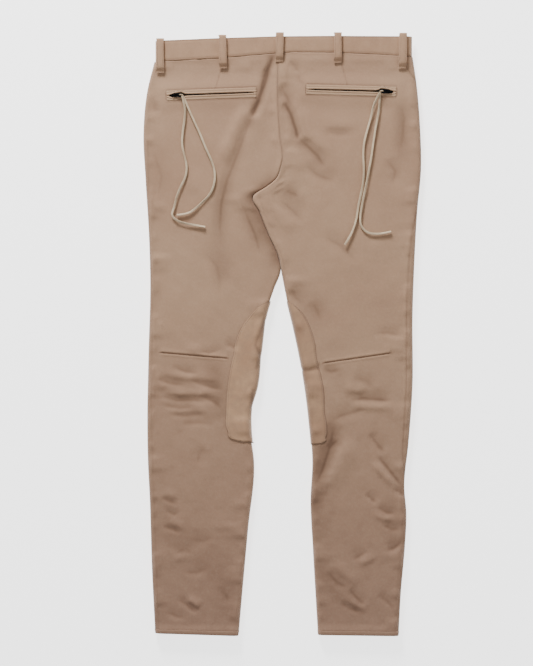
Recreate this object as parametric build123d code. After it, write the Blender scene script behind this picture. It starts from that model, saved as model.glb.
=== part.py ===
"""Riding-style trousers, lying flat on their front with the back upwards.

Frame: millimetres, +Z up out of the surface they lie on, +Y from the hems to the waist, +X from the
wearer's left leg to the right leg. The origin is under the middle of the garment, on the surface.
Each leg and the seat are a flat tube of two cloth skins, back above and front below, whose turned
edges meet at the side seam and at the inseam. Tube, waist and hems are open at their ends.
"""
from build123d import *
from math import pi, radians, tan
import os

# ---- driving dimensions ------------------------------------------------------------------------
CLOTH = 1.2                  # one skin of the trousers
PATCH = 1.2                  # suede of the knee patches
SEAM_Z = 7.0                 # height at which back and front skins meet at the side seams
FRONT_Z = PATCH              # underside of the front skin, which rests on the patches
BACK_TOP = 15.2              # upper face of the back skin
FRONT_TOP = FRONT_Z + CLOTH
BACK_UNDER = BACK_TOP - CLOTH
FRONT_DROP = 14.0            # the front waist sits this much lower than the back waist
CENTRE_X = -7.0              # centre back seam and centre front seam, at the waist
CROTCH_Y = 240.0
FOLD_Y = -200.0              # line below the patches where each leg folds over for storage
FOLD_GAP = 0.5
FAR = 560.0                  # further out than any part of the garment

BAND = 1.4                   # waistband cloth with its interfacing
LINING = 1.0
FRONT_BAND_Z = 1.8
LOOP_WIDTH = 13.5
LOOP = 1.6
LOOP_GAP = 4.4               # room for a belt under each back loop
LOOP_TOP = BACK_TOP + LOOP_GAP + LOOP

ZIP_GAP = 3.2                # between the two welts of a back pocket
WELT_HIGH = 7.0
WELT_TOP = 15.8
CHAIN_Z = 12.6               # middle height of a pocket zip's chain
SLIDER_LONG, SLIDER_WIDE = 10.0, 7.6
TAB_AXIS_Z = 16.9
TAB_LONG, TAB_WIDE, TAB = 10.5, 6.0, 1.2
TAB_TILT = 8.0               # the pull tab lies on its lace at this slope
LACE_DIAMETER = 3.0

FLY_LONG = 150.0
FLY_CHAIN_Z = 6.2
FLY_SHIELD_Z = 8.4

# ---- outlines ----------------------------------------------------------------------------------
WAIST_SEAM = [(-218, 464), (-109, 470), (-20, 477.5), (14, 480.3), (90, 479.5), (160, 476.5), (222, 473)]
WAIST_TOP = [(-215, 499.5), (-107, 504), (-11, 507), (82, 507.8), (220, 507)]
LEFT_OUTER = [(-218, 464), (-230, 415), (-236.5, 345), (-233, 265), (-227, 165), (-225, 90),
              (-228, -35), (-230, -150), (-229, -215), (-226, -275), (-222, -400), (-217, -500)]
RIGHT_OUTER = [(222, 473), (229, 425), (235, 350), (236.5, 285), (230, 210), (225, 120), (222, 30),
               (222, -85), (215, -185), (208, -258), (211.5, -305), (209, -360), (202, -440), (198.5, -504)]
CENTRE_SEAM = [(-7, 479), (-8, 399), (-5, 345), (-2, 288)]
CROTCH = [(-2, 288), (-14, 262), (-30, 250), (-46, 240)]
OVERLAP = [(-46, 240), (-38, 208), (-23, 170), (-6, 131), (-2.5, 112)]
LEFT_INSEAM = [(-2.5, 112), (-14, 78), (-26, 42), (-37, -30), (-43, -85), (-54, -130), (-54, -165),
               (-48, -215), (-58, -330), (-68, -440), (-73.5, -503.5)]
RIGHT_INSEAM = [(-2.5, 112), (8, 58), (18, 17), (38, -85), (46, -150), (51, -215), (48, -281),
                (52, -365), (60, -502)]
LEFT_PATCH = [(-19, 58), (-41, 46), (-70, 11), (-83, -34), (-93.5, -92), (-95.5, -129), (-92.5, -164),
              (-82, -177.5), (-49, -184)]
RIGHT_PATCH = [(8.5, 58), (37, 34), (54.7, -10), (66, -69), (72, -129), (76, -158), (74, -174),
               (66, -184), (50, -187)]
HEM_HIGH = 8.0
HEM_WALL = 2.4
HEM_TOP = BACK_TOP + 0.6


def edge(points):
    """A straight edge through two points, or a smooth one through more."""
    if len(points) == 2:
        return Edge.make_line(*points)
    return Edge.make_spline([Vector(*p) for p in points])


def face(*runs):
    """The face inside runs of points that follow each other, closed by straight edges between them."""
    edges = []
    for i, run in enumerate(runs):
        edges.append(edge(run))
        following = runs[(i + 1) % len(runs)][0]
        if tuple(run[-1]) != tuple(following):
            edges.append(edge([run[-1], following]))
    return Face(Wire(edges))


def shifted(points, dx=0.0, dy=0.0):
    return [(x + dx, y + dy) for x, y in points]


def between(points, low, high):
    return [p for p in points if low <= p[1] <= high]


def slab(flat, z_low, z_high):
    return Pos(0, 0, z_low) * extrude(flat, z_high - z_low, dir=(0, 0, 1))


def block(x0, x1, y0, y1, z0, z1):
    return Pos((x0 + x1) / 2, (y0 + y1) / 2, (z0 + z1) / 2) * Box(x1 - x0, y1 - y0, z1 - z0)


def lines(points):
    """Straight runs from each point to the next."""
    return [[a, b] for a, b in zip(points, points[1:])]


def at_x(points, x):
    """Height of an outline's points at x, by straight lines between them."""
    if x < points[0][0]:
        return points[0][1]
    for (xa, ya), (xb, yb) in zip(points, points[1:]):
        if xa <= x <= xb:
            return ya + (yb - ya) * (x - xa) / (xb - xa)
    return points[-1][1]


# ---- legs and seat -----------------------------------------------------------------------------
class Side:
    """One leg's outline: outer edge and inner edges, from the waist down."""

    def __init__(self, name, outer, inner_runs, inward):
        self.name = name
        self.outer = outer
        self.inner_runs = inner_runs
        self.inward = inward               # +1 where the inner edge lies at larger x

    def waist(self, drop):
        """Waist seam of this side, from its outer end to the centre seam."""
        seam = shifted(WAIST_SEAM, dy=-drop)
        centre = (CENTRE_X, at_x(seam, CENTRE_X))
        if self.inward > 0:
            return [p for p in seam if p[0] < CENTRE_X] + [centre]
        return [p for p in reversed(seam) if p[0] > CENTRE_X] + [centre]

    def outline(self, drop):
        """The side's flat shape, from the waist seam down to the hem band."""
        waist = self.waist(drop)
        outer = [(waist[0][0], waist[0][1])] + [p for p in self.outer if p[1] < waist[0][1] - 5]
        centre = [waist[-1], *self.inner_runs[0][1:]]
        return face(*lines(waist), centre, *self.inner_runs[1:], list(reversed(outer)))

    def hollow(self, wall):
        """The space between the turned edges, carried on past the waist and the hem."""
        inner = [shifted(run, dx=-self.inward * wall) for run in self.inner_runs]
        outer = shifted(self.outer, dx=self.inward * wall)
        first, last = inner[0][0], inner[-1][-1]
        return face([(outer[0][0], FAR), (first[0], FAR)], [(first[0], FAR), first], *inner,
                    [last, (last[0], -FAR)], [(outer[-1][0], -FAR), outer[-1]], list(reversed(outer)))

    def full_block(self, grow):
        """The leg's outer shape below the crotch, grown sideways, for cutting what wraps round it."""
        inner = shifted(self.inner_runs[-1], dx=self.inward * grow)
        outer = shifted(between(self.outer, -FAR, inner[0][1]), dx=-self.inward * grow)
        return face(inner, list(reversed(outer)))


LEFT = Side("left", LEFT_OUTER, [CENTRE_SEAM, CROTCH, OVERLAP, LEFT_INSEAM], +1)
RIGHT = Side("right", RIGHT_OUTER, [CENTRE_SEAM, CROTCH, OVERLAP, RIGHT_INSEAM], -1)


def panel(side, back):
    """One skin of a side with its turned edges: an open tray, upside down for the back."""
    drop = 0.0 if back else FRONT_DROP
    whole = side.outline(drop)
    low, high = (SEAM_Z, BACK_TOP) if back else (FRONT_Z, SEAM_Z)
    room = (SEAM_Z - 1, BACK_UNDER) if back else (FRONT_TOP, SEAM_Z + 1)
    tray = slab(whole, low, high) - slab(side.hollow(CLOTH), *room)
    seat = block(-95, 95, CROTCH_Y + 4, FAR, *room)
    return tray - seat


def split_at_fold(shape):
    """The thigh's share and the lower leg's share of a panel."""
    upper = shape & block(-FAR, FAR, FOLD_Y + FOLD_GAP, FAR, -1, 40)
    lower = shape & block(-FAR, FAR, -FAR, FOLD_Y - FOLD_GAP, -1, 40)
    return upper, lower


def knee_patch(side, outline, inseam):
    """Suede that lies on the back skin, wraps the inseam and lies under the front skin."""
    wrap = side.inward * (PATCH + 0.1)
    tip, foot = outline[0], outline[-1]
    edge_run = shifted(between(inseam, foot[1] + 8, tip[1] - 8), dx=wrap)
    edge_run = [(tip[0] + wrap, tip[1]), *edge_run, (foot[0] + wrap, foot[1])]
    flat = face(outline, list(reversed(edge_run)))
    return slab(flat, 0, BACK_TOP + PATCH) - slab(side.full_block(0.1), FRONT_Z, BACK_TOP)


def hem_band(side):
    """Turned-up hem, a flat tube that carries on from the two skins."""
    outer, inner = side.outer[-1], side.inner_runs[-1][-1]
    ends = [outer, inner] if side.inward > 0 else [inner, outer]

    def strip(inset, y_up, y_down):
        (xa, ya), (xb, yb) = ends
        return face([(xa + inset, ya + y_up), (xb - inset, yb + y_up)],
                    [(xb - inset, yb - y_down), (xa + inset, ya - y_down)])

    ring = slab(strip(-0.3, -0.1, HEM_HIGH), 0, HEM_TOP)
    return ring - slab(strip(HEM_WALL, 2, HEM_HIGH + 2), HEM_WALL, HEM_TOP - HEM_WALL)


# ---- waistband ---------------------------------------------------------------------------------
def band_face(x0, x1, inset=0.0, drop=0.0):
    """The waistband's flat shape from x0 to x1, inset from its long edges."""
    def run(points, dy):
        inner = [p for p in points if x0 < p[0] < x1]
        return shifted([(x0, at_x(points, x0)), *inner, (x1, at_x(points, x1))], dy=dy - drop)
    top, seam = run(WAIST_TOP, -inset), run(WAIST_SEAM, inset)
    return face(*lines(top), *lines(list(reversed(seam))))


BAND_LEFT, BAND_RIGHT = -216.0, 221.0
OVERLAP_X = CENTRE_X + 18.0          # end of the front band that laps over, at the fly
UNDERLAP_X = CENTRE_X - 18.0


def band_shell(x0, x1, back, wall, z_low, z_high, closed_end, drop=0.0):
    """A stretch of band, with the turned end that meets the other skin at the side."""
    flat = slab(band_face(x0, x1, drop=drop), z_low, z_high)
    x_end = (x0, x0 + wall) if closed_end < 0 else (x1 - wall, x1)
    z_end = (SEAM_Z, z_high) if back else (z_low, SEAM_Z)
    return flat + slab(band_face(*x_end, drop=drop), *z_end)


def back_lining():
    low, high = BACK_TOP - BAND - LINING, BACK_TOP - BAND
    x0, x1 = BAND_LEFT + BAND, BAND_RIGHT - BAND
    shape = slab(band_face(x0, x1), low, high)
    for end in ((x0, x0 + LINING), (x1 - LINING, x1)):
        shape += slab(band_face(*end), SEAM_Z, high)
    return shape


def front_lining():
    """Two lengths, either side of the fastening at the fly."""
    low = FRONT_BAND_Z + BAND
    x0, x1 = BAND_LEFT + BAND, BAND_RIGHT - BAND
    left = slab(band_face(x0, UNDERLAP_X - 1, drop=FRONT_DROP), low, low + LINING)
    left += slab(band_face(x0, x0 + LINING, drop=FRONT_DROP), low, SEAM_Z)
    right = slab(band_face(OVERLAP_X + 4, x1, drop=FRONT_DROP), low, low + LINING)
    right += slab(band_face(x1 - LINING, x1, drop=FRONT_DROP), low, SEAM_Z)
    return left, right


def front_band_right():
    """The right front band, whose end steps up and runs on behind the left one."""
    z = FRONT_BAND_Z
    start = OVERLAP_X + 0.5
    shape = band_shell(start, BAND_RIGHT, False, BAND, z, z + BAND, +1, FRONT_DROP)
    step = slab(band_face(start, start + 2.5, drop=FRONT_DROP), z, z + 2.8 + LINING)
    tongue = slab(band_face(UNDERLAP_X, start + 2.5, drop=FRONT_DROP), z + 2.8, z + 2.8 + LINING)
    return shape + step + tongue


def profile_along_y(points, x, width):
    """A shape whose outline is given as (y, z), as wide as width, centred on x."""
    flat = make_face(Polyline(*[(0, y, z) for y, z in points], close=True))
    solid = extrude(flat, amount=width, dir=(1, 0, 0))
    return Pos(x - width / 2, 0, 0) * solid


BACK_LOOPS = {                        # middle x, foot y, top y
    "side_left": (-207.5, 445.0, 503.0),
    "back_left": (-101.5, 452.5, 509.0),
    "centre_back": (-4.0, 464.0, 513.2),
    "back_right": (94.2, 462.0, 513.2),
    "side_right": (204.5, 452.5, 512.3),
}
FRONT_LOOPS = {"front_left": -118.0, "front_right": 110.0}
LOOP_FOOT, LOOP_BACK = 6.5, 1.8


def back_loop(x, foot, top):
    """A belt loop that stands over the band: its foot is sewn to the seat, its head to the band."""
    edge_y = at_x(WAIST_TOP, x)
    head = BACK_TOP - BAND
    under = LOOP_TOP - LOOP
    return profile_along_y([
        (foot, BACK_TOP), (foot, BACK_TOP + 2.4), (foot + 7, LOOP_TOP), (top - 2.5, LOOP_TOP),
        (top, LOOP_TOP - 2.2), (top, head), (edge_y + 0.7, head), (edge_y + 0.7, BACK_TOP),
        (top - LOOP_BACK, BACK_TOP), (top - LOOP_BACK, under - 0.6), (top - 3, under), (foot + 8.5, under),
        (foot + 4.5, BACK_TOP + 1.8), (foot + LOOP_FOOT, BACK_TOP)], x, LOOP_WIDTH)


def front_loop(x):
    """A belt loop pressed flat between the front band and the surface below."""
    top_edge = at_x(WAIST_TOP, x) - FRONT_DROP
    seam = at_x(WAIST_SEAM, x) - FRONT_DROP
    foot, top = seam - 12, top_edge + 5
    band_top = FRONT_BAND_Z + BAND
    return profile_along_y([
        (foot, 0), (top, 0), (top, band_top), (top_edge + 0.7, band_top), (top_edge + 0.7, FRONT_BAND_Z),
        (top - 2.4, FRONT_BAND_Z - 0.1), (top - 2.4, 1.1), (seam - 3, 1.1), (seam - 3.2, FRONT_Z),
        (foot, FRONT_Z)], x, LOOP_WIDTH)


# ---- back pockets ------------------------------------------------------------------------------
class Pocket:
    """A zipped welt pocket. u runs along its zip towards the garment's centre, v towards the waist."""

    def __init__(self, name, middle, slope, towards):
        self.name, self.middle, self.slope, self.towards = name, middle, slope, towards
        self.half = 76.0
        self.closed_u = -64.0              # where the slider stands when the zip is shut
        self.chain_end = 60.0              # the chain stops short of the mouth's inner end

    def place(self, shape):
        return Pos(*self.middle, 0) * Rot(0, 0, self.slope) * shape

    def cuboid(self, u0, u1, v0, v1, z0, z1):
        a, b = sorted((u0 * self.towards, u1 * self.towards))
        return block(a, b, v0, v1, z0, z1)


POCKETS = [Pocket("left", (-120.3, 409.0), 2.1, +1), Pocket("right", (117.0, 414.8), -1.5, -1)]
MOUTH = ZIP_GAP / 2 + WELT_HIGH


def pocket_slit(p):
    return p.place(p.cuboid(-p.half, p.half, -MOUTH, MOUTH, BACK_UNDER - 1, BACK_TOP + 1))


def welt(p, upper):
    """A folded strip of cloth along one lip of the pocket."""
    v0, v1 = sorted((ZIP_GAP / 2 * upper, MOUTH * upper))
    strip = p.cuboid(-p.half, p.half, v0, v1, BACK_UNDER, WELT_TOP)
    lip = [e for e in strip.edges().filter_by(Axis.X) if abs(abs(e.center().Y) - ZIP_GAP / 2) < 0.1]
    return p.place(fillet(lip, 0.7))


def zip_chain(p):
    """The two rows of teeth, as plain bars a slider's post apart."""
    z_low, z_high = CHAIN_Z - 0.7, CHAIN_Z + 0.7
    return [p.place(p.cuboid(-p.half + 3, p.chain_end, *sorted((0.6 * s, 2.2 * s)), z_low, z_high))
            for s in (-1, 1)]


def zip_tape(p):
    return [p.place(p.cuboid(-p.half, p.half, *sorted((2.2 * s, 13 * s)), CHAIN_Z - 0.25, CHAIN_Z + 0.25))
            for s in (-1, 1)]


def zip_stops(p):
    """Small metal clips at the ends of the chain."""
    return [p.place(p.cuboid(u - 1, u + 1, -2.1, 2.1, CHAIN_Z - 0.9, CHAIN_Z + 0.9))
            for u in (-p.half + 1.9, p.chain_end + 1.1)]


def zip_slider(p):
    """Two plates over and under the chain, joined by a post, with an arch on top for the pull tab."""
    low, high = CHAIN_Z - 1.6, CHAIN_Z + 1.2
    outline = RectangleRounded(SLIDER_LONG, SLIDER_WIDE, 2.4)
    body = Pos(0, 0, low) * extrude(outline, high - low)
    body -= p.cuboid(-20, 20, -20, 20, CHAIN_Z - 0.85, CHAIN_Z + 0.85)
    body += p.cuboid(-SLIDER_LONG / 2 + 0.4, -SLIDER_LONG / 2 + 3, -0.45, 0.45, low, high)
    arch = p.cuboid(-3.4, 3.4, -1.0, 1.0, high - 0.1, TAB_AXIS_Z + 2.1)
    arch -= p.cuboid(-2.3, 2.3, -3, 3, TAB_AXIS_Z - 1.2, TAB_AXIS_Z + 1.2)
    shoulder = arch.edges().filter_by(Axis.Y).group_by(Axis.Z)[-1]
    body += fillet(shoulder, 0.9)
    return p.place(Pos(p.closed_u * p.towards, 0, 0) * body)


def on_tab(p, shape):
    """Moves a shape made flat round the tab's hinge axis to where the tilted tab lies."""
    tilt = Rot(0, -TAB_TILT * p.towards, 0)
    return p.place(Pos(p.closed_u * p.towards, 0, TAB_AXIS_Z) * tilt * shape)


def pull_tab(p):
    """A drop-shaped tab: a bar through the slider's arch, and an eye for the lace at its far end."""
    plate = p.cuboid(-0.7, TAB_LONG, -TAB_WIDE / 2, TAB_WIDE / 2, -TAB / 2, TAB / 2)
    plate += Pos(TAB_LONG * p.towards, 0, 0) * Cylinder(TAB_WIDE / 2, TAB)
    plate -= p.cuboid(0.8, 5.4, -1.5, 1.5, -2, 2)
    plate -= Pos(TAB_LONG * p.towards, 0, 0) * Cylinder(1.5, 3)
    return on_tab(p, plate)


def lace_loop(p):
    """The lace's turn through the eye and round the end of the tab."""
    ring = Rot(90, 0, 0) * Torus(2.4, 0.9)
    return on_tab(p, Pos((TAB_LONG + 2.4) * p.towards, 0, 0) * ring)


def pocket_bag(p):
    """The pocket's lining, two layers that hang below the zip inside the seat."""
    flat = face([(-70, 10), (70, 10)], [(70, 10), (70, -82)], [(70, -82), (0, -96), (-70, -82)])
    return p.place(slab(flat, 9.6, 10.8))


# ---- laces -------------------------------------------------------------------------------------
# Each lace is a thong folded in half through the tab's eye. Points of the two halves, from the eye.
LACES = {
    "left_lace_outer": [
        (-169.6, 405.6, 21.0), (-168.0, 397.5, 20.0), (-164.5, 383.0, 17.4), (-166.0, 364.0, 16.9),
        (-169.5, 343.0, 16.9), (-170.5, 322.0, 16.9), (-166.0, 303.0, 16.9), (-161.5, 286.0, 16.9),
        (-164.0, 267.0, 16.9), (-173.5, 250.0, 16.9), (-180.0, 232.0, 16.9), (-184.0, 215.0, 16.9),
        (-188.5, 203.5, 16.9), (-180.0, 194.0, 16.9), (-167.0, 189.5, 16.9), (-149.0, 186.5, 16.9),
        (-131.0, 183.0, 16.9)],
    "left_lace_inner": [
        (-169.0, 405.6, 17.6), (-164.5, 396.5, 17.4), (-158.0, 381.0, 17.0), (-149.0, 361.0, 16.9),
        (-139.0, 340.0, 16.9), (-130.5, 318.0, 16.9), (-120.5, 297.0, 16.9), (-114.0, 277.0, 16.9),
        (-115.0, 257.0, 16.9), (-122.0, 239.0, 16.9), (-134.5, 226.0, 16.9), (-148.0, 213.5, 16.9),
        (-162.5, 204.5, 16.9), (-179.0, 203.5, 16.9)],
    "right_lace_inner": [
        (165.4, 411.4, 21.0), (161.0, 403.0, 20.0), (154.5, 389.0, 17.3), (150.5, 370.0, 16.9),
        (144.5, 349.0, 16.9), (138.5, 327.0, 16.9), (137.0, 305.0, 16.9), (138.5, 284.0, 16.9),
        (138.0, 263.0, 16.9), (134.0, 241.0, 16.9), (129.0, 220.0, 16.9), (126.5, 200.0, 16.9),
        (122.0, 183.0, 16.9), (115.0, 167.0, 16.9), (106.0, 153.0, 16.9)],
    "right_lace_outer": [
        (166.0, 411.4, 17.6), (165.2, 401.0, 17.4), (164.5, 386.0, 17.0), (161.0, 366.0, 16.9),
        (157.0, 344.0, 16.9), (153.8, 322.0, 16.9), (151.0, 301.0, 16.9), (147.0, 280.0, 16.9),
        (143.2, 259.0, 16.9), (138.5, 238.0, 16.9), (134.5, 217.0, 16.9), (131.5, 198.0, 16.9),
        (133.5, 183.0, 16.9), (145.0, 172.5, 16.9), (160.0, 171.0, 16.9), (172.5, 172.5, 16.9),
        (184.5, 175.5, 16.9)],
}
MAX_RADIUS = 400.0


def lace(points):
    """A plain round tube along a lace's route, with arcs as large as its runs allow."""
    points = [Vector(*p) for p in points]
    radii = []
    for before, here, after in zip(points, points[1:], points[2:]):
        into, out = here - before, after - here
        turn = into.get_angle(out)
        largest = 0.45 * min(into.length, out.length) / tan(radians(turn / 2))
        radii.append(min(MAX_RADIUS, largest))
    path = FilletPolyline(*points, radius=radii)
    wire = path.wire()
    start = Plane(origin=wire @ 0, z_dir=wire % 0)
    tube = sweep(start * Circle(LACE_DIAMETER / 2), path=wire)
    expected = wire.length * pi * (LACE_DIAMETER / 2) ** 2
    print("lace length", round(wire.length, 1), "volume share", round(tube.volume / expected, 4),
          "radii", [round(r, 1) for r in radii])
    return tube


# ---- front of the trousers ---------------------------------------------------------------------
def front_seam_y(x):
    return at_x(WAIST_SEAM, x) - FRONT_DROP


FLY_TOP = front_seam_y(CENTRE_X) - 4.5


def fly_strip(x0, x1, long, z0, z1):
    return block(x0, x1, FLY_TOP - long, FLY_TOP, z0, z1)


def fly_facing():
    """Curved facing inside the front's overlap, which the fly's stitching holds."""
    x, top, long = CENTRE_X, FLY_TOP, FLY_LONG + 12
    flat = face([(x - 34, top), (x + 4, top)], [(x + 4, top), (x + 4, top - long)],
                [(x + 4, top - long), (x - 18, top - long + 14), (x - 31, top - long + 44),
                 (x - 34, top - long + 78)])
    return slab(flat, FRONT_TOP, FRONT_TOP + 0.6)


def fly_zip_chain():
    z_low, z_high = FLY_CHAIN_Z - 0.8, FLY_CHAIN_Z + 0.8
    return [fly_strip(*sorted((CENTRE_X + 0.6 * s, CENTRE_X + 2.4 * s)), FLY_LONG, z_low, z_high)
            for s in (-1, 1)]


def fly_zip_tape():
    z_low, z_high = FLY_CHAIN_Z - 0.3, FLY_CHAIN_Z + 0.3
    return [fly_strip(*sorted((CENTRE_X + 2.4 * s, CENTRE_X + 14 * s)), FLY_LONG + 8, z_low, z_high)
            for s in (-1, 1)]


def fly_zip_stop():
    y = FLY_TOP - FLY_LONG - 1.6
    return block(CENTRE_X - 2.3, CENTRE_X + 2.3, y - 1.5, y + 1.5, FLY_CHAIN_Z - 1.1, FLY_CHAIN_Z + 1.1)


FLY_SLIDER_Y = FLY_TOP - 9.0


def fly_slider():
    low, high = FLY_CHAIN_Z - 1.7, FLY_CHAIN_Z + 1.8
    body = Pos(0, 0, low) * extrude(RectangleRounded(8.6, 11.5, 2.6), high - low)
    body -= block(-20, 20, -20, 20, FLY_CHAIN_Z - 0.95, FLY_CHAIN_Z + 0.95)
    body += block(-0.45, 0.45, 2.6, 5.3, low, high)
    return Pos(CENTRE_X, FLY_SLIDER_Y, 0) * body


def fly_pull_tab():
    """The fly's tab, folded down flat between its slider and the facing."""
    z0, z1 = FRONT_TOP + 0.8, FLY_CHAIN_Z - 1.75
    tab = block(-3.5, 3.5, -24, 0, z0, z1)
    tab = fillet(tab.edges().filter_by(Axis.Z), 2.4)
    tab -= block(-1.8, 1.8, -21.5, -14, z0 - 1, z1 + 1)
    return Pos(CENTRE_X, FLY_SLIDER_Y + 2, 0) * tab


def fly_shield():
    """The doubled cloth that backs the zip, inside."""
    flat = face([(CENTRE_X - 22, FLY_TOP), (CENTRE_X + 24, FLY_TOP)],
                [(CENTRE_X + 24, FLY_TOP), (CENTRE_X + 24, FLY_TOP - FLY_LONG)],
                [(CENTRE_X + 24, FLY_TOP - FLY_LONG), (CENTRE_X, FLY_TOP - FLY_LONG - 10),
                 (CENTRE_X - 22, FLY_TOP - FLY_LONG + 6)])
    return slab(flat, FLY_SHIELD_Z, FLY_SHIELD_Z + 1.0)


def waist_hook():
    """Flat hook inside the overlap: a plate whose end turns back."""
    z = FRONT_BAND_Z + BAND
    y = front_seam_y(CENTRE_X) + 14
    plate = Pos(CENTRE_X - 3, y, z) * extrude(RectangleRounded(13, 9, 1.5), 0.5)
    lip = block(CENTRE_X + 2.2, CENTRE_X + 3.2, y - 3, y + 3, z, z + 1.25)
    return plate + lip


def waist_bar():
    """Flat bar on the underlap that the hook holds."""
    z = FRONT_BAND_Z + 2.8
    y = front_seam_y(CENTRE_X) + 14
    bar = block(CENTRE_X + 3.6, CENTRE_X + 5.0, y - 5, y + 5, z - 0.7, z)
    for s in (-1, 1):
        bar += block(CENTRE_X + 3.6, CENTRE_X + 9, *sorted((y + 3.6 * s, y + 5 * s)), z - 0.7, z)
    return bar


def front_pocket(side, top_layer):
    """The facing seen in a slanting front pocket's mouth, or the lining bag behind it."""
    x_out = -205.0 if side > 0 else 208.0
    x_in = x_out + side * 62
    top = front_seam_y(x_out) - 4
    if top_layer:
        flat = [(x_out, top), (x_in, top), (x_in - side * 4, top - 60), (x_out - side * 6, top - 150)]
        z = (FRONT_TOP, FRONT_TOP + 0.8)
    else:
        flat = [(x_out, top), (x_in + side * 55, top), (x_in + side * 50, top - 150),
                (x_out - side * 4, top - 165)]
        z = (FRONT_TOP + 1.2, FRONT_TOP + 2.4)
    return slab(make_face(Polyline(*flat, close=True)), *z)


# ---- the whole ---------------------------------------------------------------------------------
def solids_of(shape):
    """One list of separate solids, whatever a function returned."""
    if isinstance(shape, (list, tuple)):
        return [s for item in shape for s in solids_of(item)]
    return list(shape.solids())


def build():
    parts = {}
    for side in (LEFT, RIGHT):
        name = side.name
        back, front = panel(side, True), panel(side, False)
        for p in POCKETS:
            if p.name == name:
                back -= pocket_slit(p)
        parts[f"{name}_back_panel"], parts[f"{name}_back_panel_lower"] = split_at_fold(back)
        parts[f"{name}_front_panel"], parts[f"{name}_front_panel_lower"] = split_at_fold(front)
        parts[f"{name}_hem_band"] = hem_band(side)
        outline = LEFT_PATCH if side is LEFT else RIGHT_PATCH
        parts[f"{name}_knee_patch"] = knee_patch(side, outline, side.inner_runs[-1])
        parts[f"{name}_front_pocket_facing"] = front_pocket(side.inward, True)
        parts[f"{name}_front_pocket_bag"] = front_pocket(side.inward, False)

    back_z = (BACK_TOP - BAND, BACK_TOP)
    front_z = (FRONT_BAND_Z, FRONT_BAND_Z + BAND)
    parts["left_back_waistband"] = band_shell(BAND_LEFT, CENTRE_X, True, BAND, *back_z, -1)
    parts["right_back_waistband"] = band_shell(CENTRE_X, BAND_RIGHT, True, BAND, *back_z, +1)
    parts["left_front_waistband"] = band_shell(BAND_LEFT, OVERLAP_X, False, BAND, *front_z, -1, FRONT_DROP)
    parts["right_front_waistband"] = front_band_right()
    parts["back_waistband_lining"] = back_lining()
    parts["front_waistband_lining"] = front_lining()
    for name, (x, foot, top) in BACK_LOOPS.items():
        parts[f"{name}_belt_loop"] = back_loop(x, foot, top)
    for name, x in FRONT_LOOPS.items():
        parts[f"{name}_belt_loop"] = front_loop(x)

    for p in POCKETS:
        parts[f"{p.name}_pocket_upper_welt"] = welt(p, +1)
        parts[f"{p.name}_pocket_lower_welt"] = welt(p, -1)
        parts[f"{p.name}_pocket_bag"] = pocket_bag(p)
        parts[f"{p.name}_zip_tape"] = zip_tape(p)
        parts[f"{p.name}_zip_chain"] = zip_chain(p)
        parts[f"{p.name}_zip_stops"] = zip_stops(p)
        parts[f"{p.name}_zip_slider"] = zip_slider(p)
        parts[f"{p.name}_pull_tab"] = pull_tab(p)
        parts[f"{p.name}_lace_loop"] = lace_loop(p)
    for name, points in LACES.items():
        parts[name] = lace(points)

    parts["fly_facing"] = fly_facing()
    parts["fly_shield"] = fly_shield()
    parts["fly_zip_tape"] = fly_zip_tape()
    parts["fly_zip_chain"] = fly_zip_chain()
    parts["fly_zip_stop"] = fly_zip_stop()
    parts["fly_zip_slider"] = fly_slider()
    parts["fly_pull_tab"] = fly_pull_tab()
    parts["waist_hook"] = waist_hook()
    parts["waist_bar"] = waist_bar()
    return parts


def main():
    os.makedirs("parts", exist_ok=True)
    for name, shape in build().items():
        solids = solids_of(shape)
        export_step(solids[0] if len(solids) == 1 else Compound(children=solids), f"parts/{name}.step")


main()
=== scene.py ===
import math

import bmesh
import bpy
import numpy as np
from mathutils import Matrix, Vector


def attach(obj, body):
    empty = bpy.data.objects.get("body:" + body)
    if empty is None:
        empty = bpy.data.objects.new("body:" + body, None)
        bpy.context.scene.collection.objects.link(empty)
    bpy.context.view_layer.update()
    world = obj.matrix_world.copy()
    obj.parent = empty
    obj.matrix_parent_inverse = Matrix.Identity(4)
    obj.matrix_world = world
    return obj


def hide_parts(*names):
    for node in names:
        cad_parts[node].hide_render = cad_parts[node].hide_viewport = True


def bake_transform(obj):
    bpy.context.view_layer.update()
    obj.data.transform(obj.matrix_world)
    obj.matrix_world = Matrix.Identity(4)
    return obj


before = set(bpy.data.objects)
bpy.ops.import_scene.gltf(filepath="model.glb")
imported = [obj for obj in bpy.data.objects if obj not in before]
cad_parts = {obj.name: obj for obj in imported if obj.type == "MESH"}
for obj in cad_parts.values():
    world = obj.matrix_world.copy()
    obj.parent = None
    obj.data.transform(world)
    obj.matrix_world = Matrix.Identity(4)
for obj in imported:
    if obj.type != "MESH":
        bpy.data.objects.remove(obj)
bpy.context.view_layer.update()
MM = 0.001

# ---- sizes in millimetres, repeated from the CAD model -----------------------------------------
BACK_TOP, SEAM_Z, FRONT_Z = 15.2, 7.0, 1.2
CLOTH = 1.1
CENTRE_X = -7.0
FRONT_DROP = 14.0
WAIST_SEAM = [(-218, 464), (-109, 470), (-20, 477.5), (14, 480.3), (90, 479.5), (160, 476.5), (222, 473)]
WAIST_TOP = [(-215, 499.5), (-107, 504), (-11, 507), (82, 507.8), (220, 507)]
LEFT_OUTER = [(-218, 464), (-230, 415), (-236.5, 345), (-233, 265), (-227, 165), (-225, 90),
              (-228, -35), (-230, -150), (-229, -215), (-226, -275), (-222, -400), (-217, -500)]
RIGHT_OUTER = [(222, 473), (229, 425), (235, 350), (236.5, 285), (230, 210), (225, 120), (222, 30),
               (222, -85), (215, -185), (208, -258), (211.5, -305), (209, -360), (202, -440), (198.5, -504)]
CENTRE = [(-7, 479), (-8, 399), (-5, 345), (-2, 288), (-14, 262), (-30, 250), (-46, 240), (-38, 208),
          (-23, 170), (-6, 131), (-2.5, 112)]
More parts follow.
